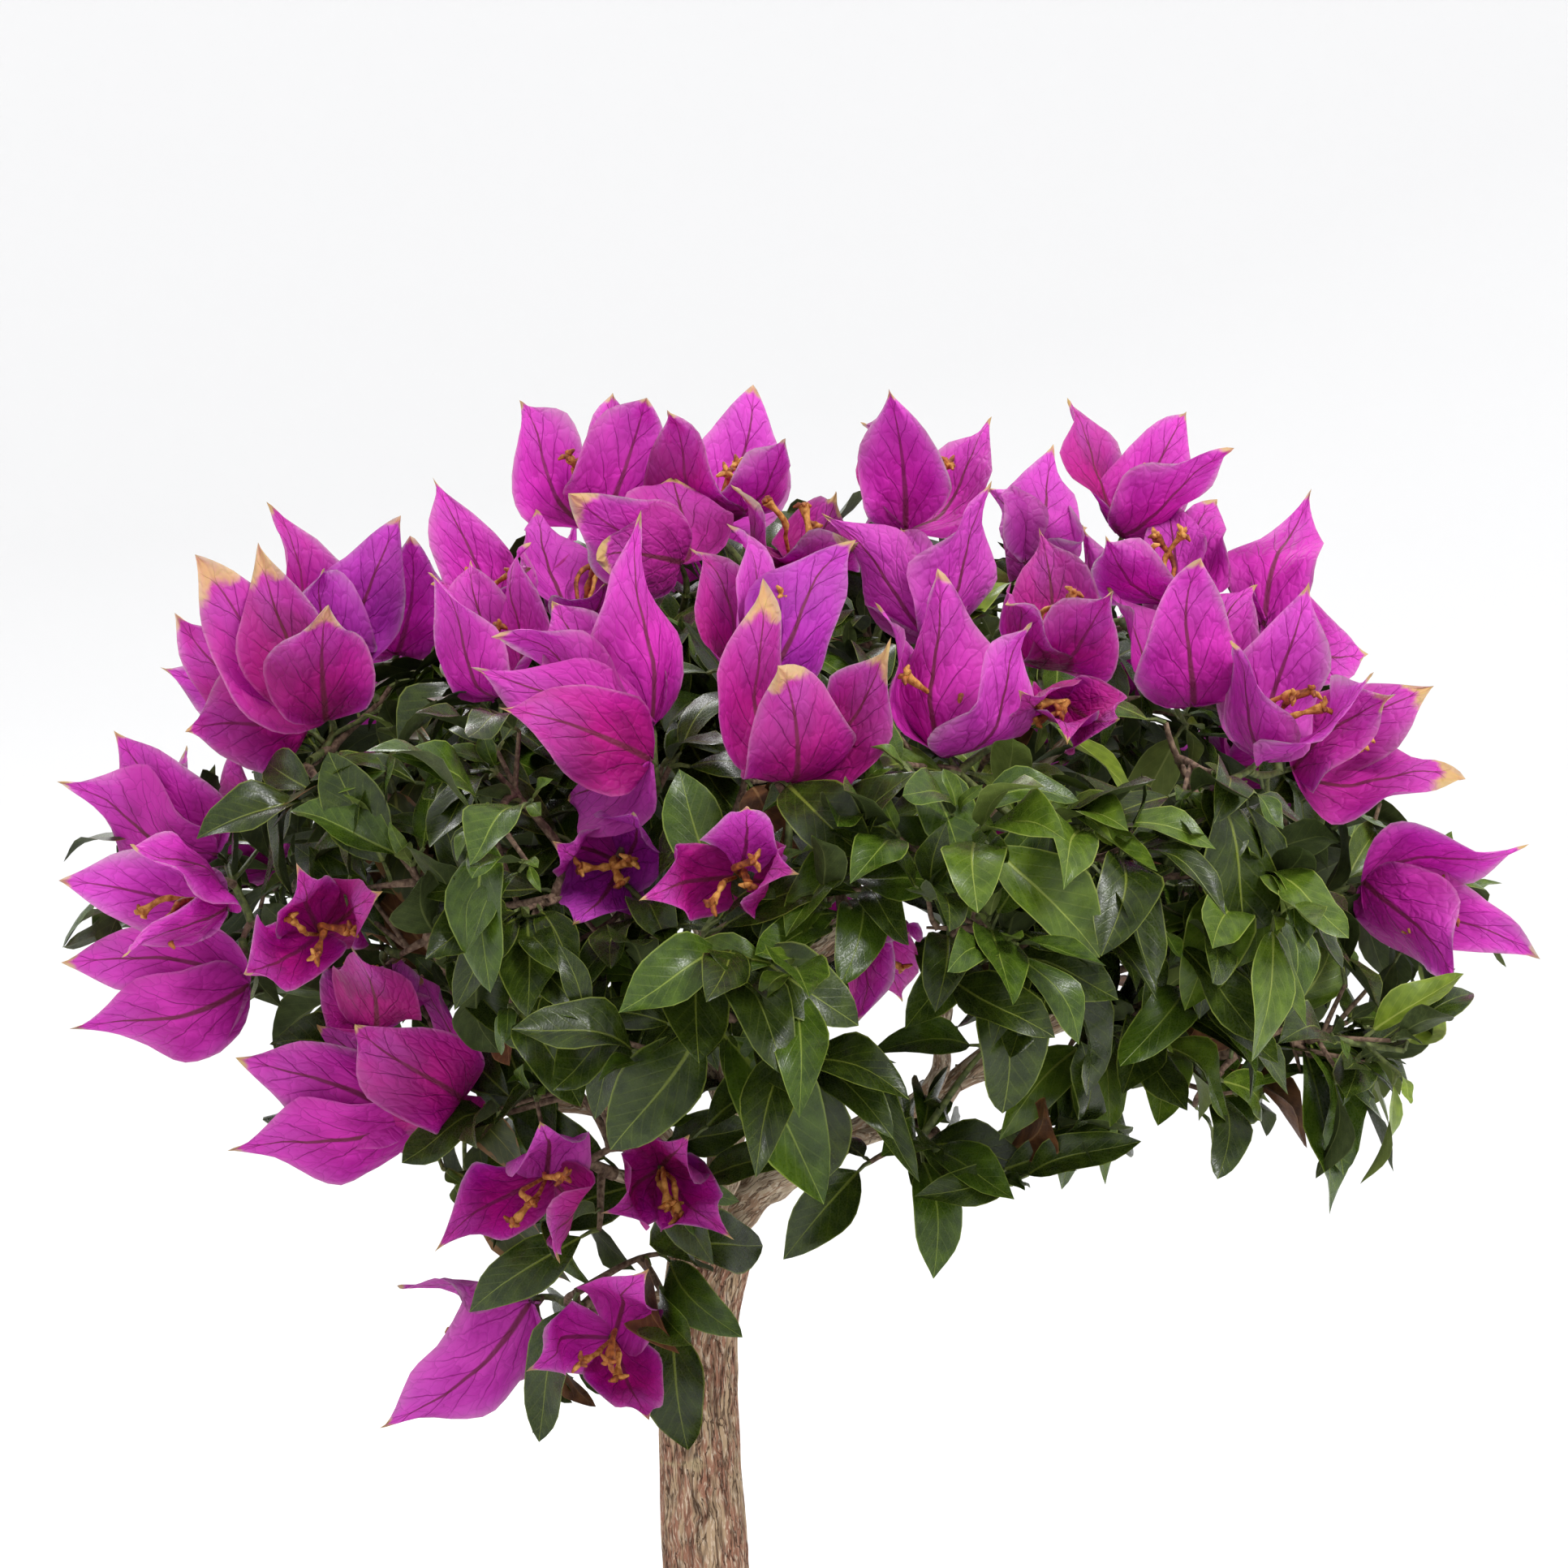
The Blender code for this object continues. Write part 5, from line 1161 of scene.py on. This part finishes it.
def deep_tips(base, tips, length):
    """Tips as the front view shows them, as deep as a foreshortened blade's length asks for."""
    places = []
    for column, row, lean in tips:
        short = (seen(column, row, base.y * 1000) - base).length
        depth = min(math.sqrt(max(length ** 2 - short ** 2, 0.0)), length * DEPTH_SHARE)
        places.append(seen(column, row, (base.y + lean * depth) * 1000))
    return places


def nearest_mass(point):
    """The name of the mass whose middle is nearest, counted in reaches."""
    spans = {}
    for name, (_, middle, reach, _) in MASSES.items():
        offset = point - seen(*middle)
        spans[name] = sum((offset[k] * 1000 / reach[k]) ** 2 for k in range(3))
    return min(spans, key=spans.get)


def plan_ends(name, rng):
    """Seeded ends of leafy shoots in a mass, spread out and on its outer side."""
    _, middle, reach, count = MASSES[name]
    heart = seen(*middle)
    ends = []
    for _ in range(count * TRIES_EACH):
        if len(ends) == count:
            break
        ray = Vector([rng.gauss(0, 1) for _ in range(3)]).normalized()
        ray = (ray + outward(heart) * 0.5).normalized()
        share = rng.uniform(*END_SHARES)
        place = heart + Vector([ray[k] * reach[k] * share / 1000 for k in range(3)])
        if nearest_mass(place) == name and all((place - other).length > SHOOT_SPACING for other in ends):
            ends.append(place)
    return ends


def plan_hidden_blooms():
    """Places of the blooms over the back, which the front view doesn't show, by a spiral rule."""
    blooms = {}
    for index in range(SPIRAL_PLACES):
        height = 1 - (index + 0.5) / SPIRAL_PLACES * SPIRAL_SPAN
        ray = polar(index * GOLDEN_ANGLE, math.sqrt(1 - height ** 2), height)
        place = CROWN_HEART + Vector([ray[k] * BLOOM_SHELL[k] for k in range(3)])
        if place.y > HIDDEN_DEPTH:
            blooms.setdefault(nearest_mass(place), []).append(place)
    return blooms


def plan_shoots(name, rng, hidden):
    """All shoots of a mass: its shown blooms and sprays, its hidden blooms and its leafy shoots by rule."""
    shoots = []
    for kind, table, length in (("bloom", BLOOMS, BRACT_LENGTH), ("spray", SPRAYS, LEAF_LENGTH)):
        for tone, place, *tips in table.get(name, ()):
            end = seen(*place)
            shoots.append(Shoot(kind, end, deep_tips(end, tips, length), tone))
    for order, end in enumerate(hidden.get(name, ())):
        axis = (outward(end) + UP * 0.35).normalized()
        tips = []
        for index in range(3):
            side = spoke(axis, order * HIDDEN_TURN + index * 2 * math.pi / 3)
            ray = axis * math.cos(HIDDEN_SLANT) + side * math.sin(HIDDEN_SLANT)
            tips.append(end + ray * BRACT_LENGTH)
        shoots.append(Shoot("bloom", end, tips, HIDDEN_TONES[order % len(HIDDEN_TONES)]))
    return shoots + [Shoot("leaves", end) for end in plan_ends(name, rng)]


def plan_stem(name, limbs):
    """A mass's stem, which goes on from its bough's tip."""
    bough, middle, _, _ = MASSES[name]
    limb = limbs[bough]["points"]
    leave = tangent(limb, len(limb) - 1)
    start = limb[-1] - leave * 0.001
    heart = seen(*middle)
    end = start + (heart - start) * STEM_SHARE
    line = curve_between(start, leave, end, (heart - start).normalized(), SHOOT_STEPS)
    return Shoot("stem", end, points=line)


def plan_screens(shoots):
    """The shown blooms' bracts in the front view: nothing that grows by rule stands before them."""
    screens = []
    for shoot in shoots:
        if shoot.kind == "bloom" and shoot.end.y <= HIDDEN_DEPTH:
            for tip in shoot.tips:
                for share, reach in SCREEN_SPOTS:
                    place = shoot.end.lerp(tip, share)
                    screens.append((*in_view(place), reach, place.y))
    return np.array(screens)


def lay_line(shoot, standing):
    """Gives a shoot its line, from the nearest place of the twigs that stand."""
    best = None
    for one in standing:
        for index in range(2, len(one.points) - (0 if one.kind == "stem" else 2)):
            far = (one.points[index] - shoot.end).length
            if best is None or far < best[0]:
                best = far, one, index
    _, parent, index = best
    start = parent.points[index]
    ahead = tangent(parent.points, index)
    straight = (shoot.end - start).normalized()
    leave = (across(straight, ahead) * 0.7 + ahead * 0.5 + straight * 0.4).normalized()
    if shoot.kind == "bloom":
        arrive = heading_of(shoot.tips, shoot.end)
    else:
        arrive = (outward(shoot.end) * 0.8 + straight).normalized()
    arrive = (arrive + straight * 0.5).normalized()
    shoot.points = curve_between(start, leave, shoot.end, arrive, SHOOT_STEPS)


def pick_tone(rng, place):
    """A leaf tone for a shoot: darker deep in the crown, fresher outside, and darker on its shaded side as
    painted shade.
    """
    share = rng.random()
    fresh = FRESH_SHARES[(place - CROWN_HEART).length <= INNER_REACH]
    # Painted shade: on the shaded side only the darker tones are drawn
    if place.x < PAINTED_SHADE_SIDE:
        share = PAINTED_SHADE_START + (1 - PAINTED_SHADE_START) * share
    limits = [(fresh + step, tone) for step, tone in TONE_STEPS] + [(WORN_START, "dark")]
    return next((tone for limit, tone in limits if share < limit), "worn")


def side_twigs(shoot, rng):
    """Finer twigs that leave a shoot on its outer side."""
    made = []
    for _ in range(SIDE_TWIGS):
        spot, ahead = along(shoot.points, rng.uniform(*SIDE_PLACES))
        side = spoke(ahead, rng.uniform(0, TURN))
        heading = (side + ahead * 0.5 + outward(shoot.end) * 0.5).normalized()
        end = spot + heading * rng.uniform(*SIDE_LENGTHS)
        line = curve_between(spot, (side + ahead).normalized(), end, heading, SIDE_STEPS)
        made.append(Shoot("side", end, points=line))
    return made


# The growth rule, as the source has it


class Crown:
    """What grows on the limbs: leaves, blossom, flowers and twigs, each kind gathered apart."""

    def __init__(self, limbs):
        self.leaves = Sheaf(LEAF_PROFILE, LEAF_GRID, LEAF_SHEET)
        self.blossom = Sheaf(BRACT_PROFILE, BRACT_GRID, BRACT_SHEET)
        self.twigs = Piece()
        self.flowers = Piece()
        hidden = plan_hidden_blooms()
        masses = {}
        for name in MASSES:
            rng = random.Random(sum(map(ord, name)))
            masses[name] = rng, [plan_stem(name, limbs)], plan_shoots(name, rng, hidden)
        self.screens = plan_screens([shoot for _, _, shoots in masses.values() for shoot in shoots])
        self.rng = random.Random(BOUGH_LEAF_SEED)
        for name, (parent, *_) in BOUGHS.items():
            if parent != "trunk":
                line = limbs[name]["points"]
                bough = Shoot("bough", line[-1], points=line)
                self.clothe(bough, self.rng.choice(INNER_TONES), BOUGH_BARE_SHARE)
        for rng, standing, shoots in masses.values():
            self.rng = rng
            stem = standing[0]
            add_tube(self.twigs, stem.points, np.linspace(*STEM_RADII, SHOOT_STEPS + 1), 8, 0)
            self.clothe(stem, "dark", 0.0)
            for shoot in sorted(shoots, key=lambda one: (one.end - stem.end).length):
                self.grow_shoot(shoot, standing)
        self.rng = random.Random(FILL_SEED)
        for name, places in FILLS.items():
            for place in places:
                self.grow_shoot(Shoot("leaves", seen(*place)), masses[name][1])

    def grow_shoot(self, shoot, standing):
        """One shoot: its twig, its leaves or bloom, and its finer twigs."""
        lay_line(shoot, standing)
        self.sink(shoot.points)
        standing.append(shoot)
        tone = pick_tone(self.rng, shoot.end)
        green = 1 if tone in ("young", "light") or shoot.kind == "bloom" else 0
        thin = SHOOT_RADII[1]
        if shoot.kind == "leaves" and not self.grow_end(shoot, tone):
            shoot.points = shoot.points[:CUT_POINTS]
            shoot.end = shoot.points[-1]
            thin = CUT_RADIUS
        radii = np.linspace(SHOOT_RADII[0], thin, len(shoot.points))
        add_tube(self.twigs, shoot.points, radii, 6, green)
        if shoot.kind == "spray":
            for tip in shoot.tips:
                # Painted shade and painted light: sprays on the shaded side draw darker tones, those on the
                # lit side lighter ones
                drawn = self.rng.choice(SPRAY_TONES[shoot.end.x > PAINTED_SHADE_SIDE])
                self.grow_leaf(shoot.end, tip, shoot.tone or drawn, SHOWN_WIDTH, SHOWN_FACING)
            self.clothe(shoot, self.rng.choice(INNER_TONES))
            return
        if shoot.kind == "bloom":
            self.grow_bloom(shoot)
            self.clothe(shoot, tone, *BLOOM_LEAF_SHARES)
        else:
            self.clothe(shoot, tone)
        for twig in side_twigs(shoot, self.rng):
            if self.grow_end(twig, tone, SIDE_LEAF_SIZE):
                add_tube(self.twigs, twig.points, np.linspace(*SIDE_RADII, SIDE_STEPS + 1), 5, green)

    def screened(self, column, row):
        """The depths of the shown bracts at a place of the front view."""
        far = np.hypot(self.screens[:, 0] - column, self.screens[:, 1] - row)
        return self.screens[far < self.screens[:, 2], 3]

    def sink(self, points):
        """Moves a twig's middle behind the shown blooms that it would cross in the front view."""
        middle = range(2, len(points) - 1)
        for index in middle:
            place = points[index]
            depths = self.screened(*in_view(place))
            depths = depths[(depths > place.y - SINK_MARGINS[0]) & (depths < place.y + SINK_MARGINS[1])]
            if len(depths):
                points[index] = Vector((place.x, float(depths.max()) + SINK_CLEAR, place.z))
        for index in middle:
            points[index] = (points[index - 1] + points[index] * 2 + points[index + 1]) / 4

    def has_room(self, root, tip):
        """Whether a leaf stays in the crown's edges, out of its gaps and clear of the shown blooms."""
        if not within_edges(tip):
            return False
        for share in ROOM_SHARES:
            place = root.lerp(tip, share)
            column, row = in_view(place)
            for middle, level, reach in GAPS:
                if math.hypot(column - middle, row - level) < reach + GAP_MARGIN:
                    return False
            if np.any(self.screened(column, row) > place.y - ROOM_MARGIN):
                return False
        return True

    def grow_leaf(self, root, tip, tone, width=LEAF_WIDTH, facing=0.0):
        """A leaf with its stalk, which turns its face up and out of the crown."""
        length = (tip - root).length
        foot = root.lerp(tip, STALK_SHARE) + UP * (length * STALK_RISE)
        normal = across(UP * 0.8 + outward(root) * 0.9, (tip - root).normalized()) + EYE * facing
        width *= length / LEAF_LENGTH * self.rng.uniform(*LEAF_WIDTHS)
        form = vary(LEAF_FORM, LEAF_DRAWS, self.rng)
        self.leaves.add(foot, tip, normal, width, form, LEAF_TONES[tone], self.rng)
        middle = root.lerp(foot, 0.5) + UP * (length * STALK_BEND)
        add_tube(self.twigs, [root, middle, foot], STALK_RADII, 4, 1)

    def grow_end(self, shoot, tone, size=1.0):
        """The leaves round a shoot's end, and a pair that is just opening; says how many have room."""
        rng = self.rng
        end = shoot.end
        axis = tangent(shoot.points, len(shoot.points) - 1)
        slant = rng.uniform(*LEAF_SLANTS)
        length = LEAF_LENGTH * rng.uniform(*END_LENGTHS) * size
        phase = rng.uniform(0, TURN)
        grown = 0
        for index in range(3):
            lean = slant + rng.uniform(*SLANT_SPREAD)
            side = spoke(axis, phase + index * GOLDEN_ANGLE)
            tip = end + (axis * math.cos(lean) + side * math.sin(lean)) * length
            tip -= UP * (length * rng.uniform(*END_DROOPS))
            if self.has_room(end, tip):
                self.grow_leaf(end, tip, tone)
                grown += 1
        for index in range(2 if grown else 0):
            side = spoke(axis, phase + 1.0 + index * math.pi)
            tip = end + (axis * 0.9 + side * 0.45).normalized() * length * rng.uniform(*BUD_LENGTHS)
            if self.has_room(end, tip):
                self.grow_leaf(end, tip, BUD_TONES.get(tone, "light"))
        return grown

    def clothe(self, shoot, tone, first=BARE_SHARE, last=1.0):
        """Grows leaves along a twig by the seeded rule: outwards from it and drooping."""
        rng = self.rng
        out = outward(shoot.end)
        count = int(line_length(shoot.points) * (last - first) / LEAF_STEP)
        turn = rng.uniform(0, TURN)
        for index in range(count):
            spot, ahead = along(shoot.points, first + (last - first) * (index + 0.5) / count)
            side = spoke(ahead, turn + index * GOLDEN_ANGLE)
            heading = side + ahead * 0.35 + out * 0.4 - UP * rng.uniform(*DROOPS)
            tip = spot + heading.normalized() * (LEAF_LENGTH * rng.uniform(*LEAF_LENGTHS))
            if (tip - spot).dot(out) >= INWARD_LIMIT * LEAF_LENGTH and self.has_room(spot, tip):
                dead = (spot - CROWN_HEART).length < INNER_REACH and rng.random() < DEAD_SHARE
                self.grow_leaf(spot, tip, "dead" if dead else tone)

    def grow_bloom(self, shoot):
        """Three bracts round the shoot's end, and the dried tube flowers that stand on their midribs."""
        rng = self.rng
        base = shoot.end
        axis = heading_of(shoot.tips, base)
        pinwheel = rng.choice((-1, 1)) * rng.uniform(*PINWHEELS)
        slim = FACING_SLIMNESS if axis.dot(EYE) > 0.6 else OTHER_SLIMNESS
        for tip in shoot.tips:
            width = min(BRACT_WIDTH, (tip - base).length) * slim
            ahead = (tip - base).normalized()
            inward = across(UP if axis.dot(ahead) > 0.995 else axis, ahead)
            form = vary(BRACT_FORM, BRACT_DRAWS, rng)
            tone = shoot.tone
            if tone in PLAIN_TONES and rng.random() < ODD_SHARE:
                tone = rng.choice(ODD_TONES)
            facing = inward + ahead.cross(inward) * pinwheel
            if base.y < HIDDEN_DEPTH:
                facing += EYE * (BRACT_FACING if inward.dot(EYE) > 0 else -BRACT_FACING)
            foot = base - ahead * (width * BRACT_OVERLAP) - inward * BRACT_DROP
            kinds = (BRACT_TONES[tone],) * 2
            width *= rng.uniform(*BRACT_WIDTHS)
            self.blossom.add(foot, tip, facing, width, form, kinds, rng)
            over = across(facing, ahead)
            foot = base.lerp(tip, FLOWER_FOOT) + over * FLOWER_RISE
            self.grow_flower(base + ahead * FLOWER_START, foot, ahead * 0.4 + over * 0.3 + axis * 0.8, axis)

    def grow_flower(self, start, foot, heading, axis):
        """A dried tube flower: it swells, bends over and ends in a crumpled mouth, between the bracts."""
        rng = self.rng
        length = rng.uniform(*FLOWER_LENGTHS)
        bend = Vector([rng.uniform(*span) for span in FLOWER_BENDS])
        points = [start, foot]
        radii = [*FLOWER_STALK_RADII]
        direction = heading.normalized()
        for step, radius in enumerate(FLOWER_RADII):
            direction = (direction + bend * (0.10 + 0.10 * step)).normalized()
            direction = (direction + axis * max(0.0, 0.6 - direction.dot(axis))).normalized()
            points.append(points[-1] + direction * (length / len(FLOWER_RADII)))
            radii.append(radius * rng.uniform(*FLOWER_SWELLS))
        add_tube(self.flowers, points, radii, 7, rng.choice((0, 0, 1)))
        mouth = points[-1]
        for index in range(4):
            side = spoke(direction, index * math.pi / 2 + rng.uniform(0, 1))
            lobe = mouth + (side * 0.8 + direction * rng.uniform(-0.3, 0.7)) * rng.uniform(*LOBE_LENGTHS)
            middle = mouth.lerp(lobe, 0.5) + direction * 0.0004
            add_tube(self.flowers, [mouth, middle, lobe], LOBE_RADII, 5, rng.choice((0, 1)))


# Pot and soil


def rounded_ring(inset, height):
    """Points of the pot's outline at a height, set in by some way, with rounded corners."""
    corner = max(POT_CORNER - inset, 0.004)
    points = []
    for turn, (sx, sy) in enumerate(((1, 1), (-1, 1), (-1, -1), (1, -1))):
        x = sx * (POT_LENGTH / 2 - inset - corner)
        y = sy * (POT_DEPTH / 2 - inset - corner)
        for step in range(POT_STEPS + 1):
            points.append(Vector((x, y, height)) + polar(math.pi / 2 * (turn + step / POT_STEPS), corner))
    return points


def wall_inset(height):
    """How far the outer wall stands inside the lip's outline at a height."""
    return LIP_PROUD + POT_TAPER * (1 - height / POT_HEIGHT)


def make_pot(finish):
    """The pot's fired clay: the frame's outline with soft edges and the slight unevenness of handwork."""
    under = POT_HEIGHT - LIP_HEIGHT
    low, high, neck = wall_inset(0), wall_inset(FOOT_HEIGHT), wall_inset(under)
    inner = LIP_PROUD + POT_WALL
    middles = [FOOT_HEIGHT + 0.003 + (under - FOOT_HEIGHT - 0.005) * share for share in (0.25, 0.5, 0.75)]
    profile = [
        (low + FOOT_INSET + 0.030, 0.0004),
        (low + FOOT_INSET + 0.0012, 0.0),
        (low + FOOT_INSET, 0.0012),
        (high + FOOT_INSET, FOOT_HEIGHT - 0.0008),
        (high + FOOT_INSET - 0.0016, FOOT_HEIGHT + 0.0004),
        (high + 0.0018, FOOT_HEIGHT + 0.0009),
        (high + 0.0003, FOOT_HEIGHT + 0.0026),
        *((wall_inset(height), height) for height in middles),
        (neck, under - 0.0010),
        (neck - 0.0008, under + 0.0002),
        (0.0010, under + 0.0012),
        (0.0, under + 0.0026),
        (0.0, POT_HEIGHT - 0.0024),
        (0.0008, POT_HEIGHT - 0.0007),
        (0.0024, POT_HEIGHT),
        (inner - 0.0026, POT_HEIGHT),
        (inner - 0.0008, POT_HEIGHT - 0.0007),
        (inner, POT_HEIGHT - 0.0026),
        (inner + 0.0006, SOIL_LEVEL - 0.008),
    ]
    points = np.array([point for spot in profile for point in rounded_ring(*spot)])
    for point in points:
        point[:2] *= 1 - abs(noise.noise(Vector(point) * POT_WAVES)) * POT_UNEVENNESS
    loops, totals, _ = tube_faces(len(profile), len(points) // len(profile))
    piece = Piece()
    piece.add(points, loops, totals, np.zeros(len(totals), int))
    made = piece.make("pot_clay", [finish], sharp=POT_SHARP)
    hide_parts("pot")


def soil_top(u, v, length, depth, corner):
    """A point of the soil's crumbly top, which sinks towards the pot's wall."""
    x, y = u * length / 2, v * depth / 2
    if abs(u) > 0.5 and abs(v) > 0.5:
        pull = 1 - 0.29 * corner * ((abs(u) * abs(v)) ** 6)
        x, y = x * pull, y * pull
    edge = max(0.0, (max(abs(u), abs(v)) - 0.80) / 0.20)
    height = SOIL_LEVEL - SOIL_SINK * edge ** 1.5 - SOIL_LOW
    for size, scale in SOIL_NOISE:
        height += size * noise.noise(Vector((x, y, 0.0)) * scale)
    return x, y, height


def make_soil(earth, grit):
    """The soil's top with its skirt, and loose granules on it."""
    inset = LIP_PROUD + POT_WALL + SOIL_CLEAR
    length = POT_LENGTH - 2 * inset
    depth = POT_DEPTH - 2 * inset
    corner = (POT_CORNER - inset) / (depth / 2)
    columns, rows = SOIL_GRID
    points = [soil_top(2 * column / columns - 1, 2 * row / rows - 1, length, depth, corner)
              for row in range(rows + 1) for column in range(columns + 1)]
    wide = columns + 1
    rim = [*range(wide), *range(wide + columns, wide * (rows + 1), wide)]
    rim += [*range(wide * (rows + 1) - 2, wide * rows - 1, -1), *range(wide * (rows - 1), 0, -wide)]
    first = len(points)
    points += [(points[k][0] * 0.99, points[k][1] * 0.99, SOIL_LEVEL - SOIL_SKIRT) for k in rim]
    loops = list(grid_loops(rows, columns))
    for k, spot in enumerate(rim):
        after = (k + 1) % len(rim)
        loops += [rim[after], spot, first + k, first + after]
    totals = [4] * (len(loops) // 4) + [len(rim)]
    loops += reversed(range(first, first + len(rim)))
    piece = Piece()
    piece.add(np.array(points), np.array(loops), np.array(totals), np.zeros(len(totals), int))
    rng = random.Random(GRAIN_SEED)
    trunk = seen(*TRUNK_LINE[0][:2], 0)
    for _ in range(GRAINS):
        x = rng.uniform(-0.48, 0.48) * length
        y = rng.uniform(-0.47, 0.47) * depth
        if math.hypot(x - trunk.x, y - trunk.y) >= TRUNK_CLEAR and in_pot(x, y, length, depth):
            add_grain(piece, Vector((x, y, SOIL_LEVEL - 0.0002)), rng)
    made = piece.make("soil_top", [earth, grit])
    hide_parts("soil")


def in_pot(x, y, length, depth):
    """Whether a granule keeps off the pot's rounded corners."""
    corner = POT_CORNER - LIP_PROUD - POT_WALL
    over_x = abs(x) - (length / 2 - corner)
    over_y = abs(y) - (depth / 2 - corner)
    return over_x <= 0 or over_y <= 0 or math.hypot(over_x, over_y) < corner - 0.003


def add_grain(piece, middle, rng):
    """A small rounded granule."""
    size = rng.uniform(*GRAIN_SIZES)
    points = []
    for level, ring in ((-0.6, 0.7), (0.0, 1.0), (0.6, 0.7)):
        for corner in range(6):
            far = size * ring * rng.uniform(0.8, 1.2)
            points.append(middle + polar(corner * math.pi / 3 + level, far, level * size))
    loops, totals, _ = tube_faces(3, 6)
    piece.add(np.array(points), loops, totals, np.full(len(totals), rng.choice((0, 1, 1))))


# Camera, light and stage


def make_stage():
    """A plain pale cove round the part, with room for a camera at any side."""
    profile = [(COVE_RADIUS, COVE_FLOOR)]
    for step in range(1, COVE_STEPS + 1):
        angle = math.pi / 2 * step / COVE_STEPS
        profile.append((COVE_RADIUS + COVE_BEND * math.sin(angle), COVE_BEND - COVE_BEND * math.cos(angle)))
    profile.append((COVE_RADIUS + COVE_BEND, COVE_TOP))
    points = [(0.0, 0.0, COVE_FLOOR)]
    for radius, height in profile:
        points += [polar(2 * math.pi * turn / COVE_TURNS, radius, height) for turn in range(COVE_TURNS)]
    faces = [(0, 1 + k, 1 + (k + 1) % COVE_TURNS) for k in range(COVE_TURNS)]
    for ring in range(1, 1 + (len(profile) - 1) * COVE_TURNS, COVE_TURNS):
        for k in range(COVE_TURNS):
            a, b = ring + k, ring + (k + 1) % COVE_TURNS
            faces.append((a, a + COVE_TURNS, b + COVE_TURNS, b))
    mesh = bpy.data.meshes.new("cove")
    mesh.from_pydata(points, [], faces)
    mesh.shade_smooth()
    finish = Finish("cove", 0.9, 0.0)
    finish.shader.inputs["Base Color"].default_value = COVE_COLOUR
    mesh.materials.append(finish.material)
    cove = put_in_scene("cove", mesh)


def make_studio():
    """The camera at the front view's place, two soft lights and a white sky."""
    scene = bpy.context.scene
    scene.view_settings.view_transform = "Standard"
    scene.world = bpy.data.worlds.new("studio")
    scene.world.use_nodes = True
    sky = scene.world.node_tree.nodes["Background"]
    sky.inputs[0].default_value = (1.0, 1.0, 1.0, 1.0)
    sky.inputs[1].default_value = SKY_POWER
    for name, (place, size, power) in LIGHTS.items():
        light = bpy.data.lights.new(name, "AREA")
        light.shape = "DISK"
        light.size = size
        light.energy = power
        made = put_in_scene(name, light)
        made.location = place
        made.rotation_mode = "QUATERNION"
        made.rotation_quaternion = (CROWN_HEART - Vector(place)).to_track_quat("-Z", "Y")
    data = bpy.data.cameras.new("camera")
    data.sensor_width = FILM_WIDTH
    data.lens = FILM_WIDTH * VIEW_DISTANCE / VIEW_WIDTH
    data.clip_start = 0.01
    scene.camera = put_in_scene("camera", data)
    scene.camera.location = VIEW_MIDDLE + EYE * VIEW_DISTANCE
    scene.camera.rotation_euler = (math.pi / 2, 0.0, 0.0)


def main():
    """The stage, then the limbs, the crown, the pot and the soil, as joined pieces."""
    make_stage()
    make_studio()
    bark = bark_finish("bark", (82, 56, 42), (204, 174, 140), (238, 218, 192), (178, 128, 104))
    pale = bark_finish("bark_pale", (126, 100, 78), (208, 190, 162), (234, 222, 200), (182, 150, 122))
    twig_brown = wood_finish("twig_brown", (86, 66, 54), (140, 116, 96), 0.85)
    twig_green = wood_finish("twig_green", (74, 84, 44), (112, 122, 66), 0.6)
    dry = wood_finish("dried_flower", (158, 92, 34), (216, 158, 80), 0.6)
    brown = wood_finish("dried_tube", (110, 48, 28), (176, 104, 44), 0.6)
    leaf_finishes = [leaf_finish(*one) for one in LEAF_COLOURS]
    bract_finishes = [bract_finish(*one) for one in BRACT_COLOURS]

    limbs = {"trunk": plan_trunk()}
    plan_boughs(limbs)
    wood = Piece()
    for order, limb in enumerate(limbs.values()):
        limb_mesh(wood, limb, BOUGH_SIDES if order else TRUNK_SIDES, order)
    limb_piece = wood.make("limbs_bark", [bark, pale])
    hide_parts(*limbs)

    crown = Crown(limbs)
    for index, piece in enumerate(crown.leaves.pieces):
        made = piece.make(f"leaves_{index}", leaf_finishes, BAKE_CELLS)
        if index == 0:
            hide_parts(*MASSES)
    for index, piece in enumerate(crown.blossom.pieces):
        made = piece.make(f"blossom_{index}", bract_finishes, BAKE_CELLS)
    crown.twigs.make("twigs", [twig_brown, twig_green])
    crown.flowers.make("tube_flowers", [dry, brown])
    make_pot(clay_finish())
    make_soil(earth_finish("soil", (46, 36, 30), (74, 58, 46)),
              earth_finish("grit", (92, 74, 58), (134, 112, 90)))


main()
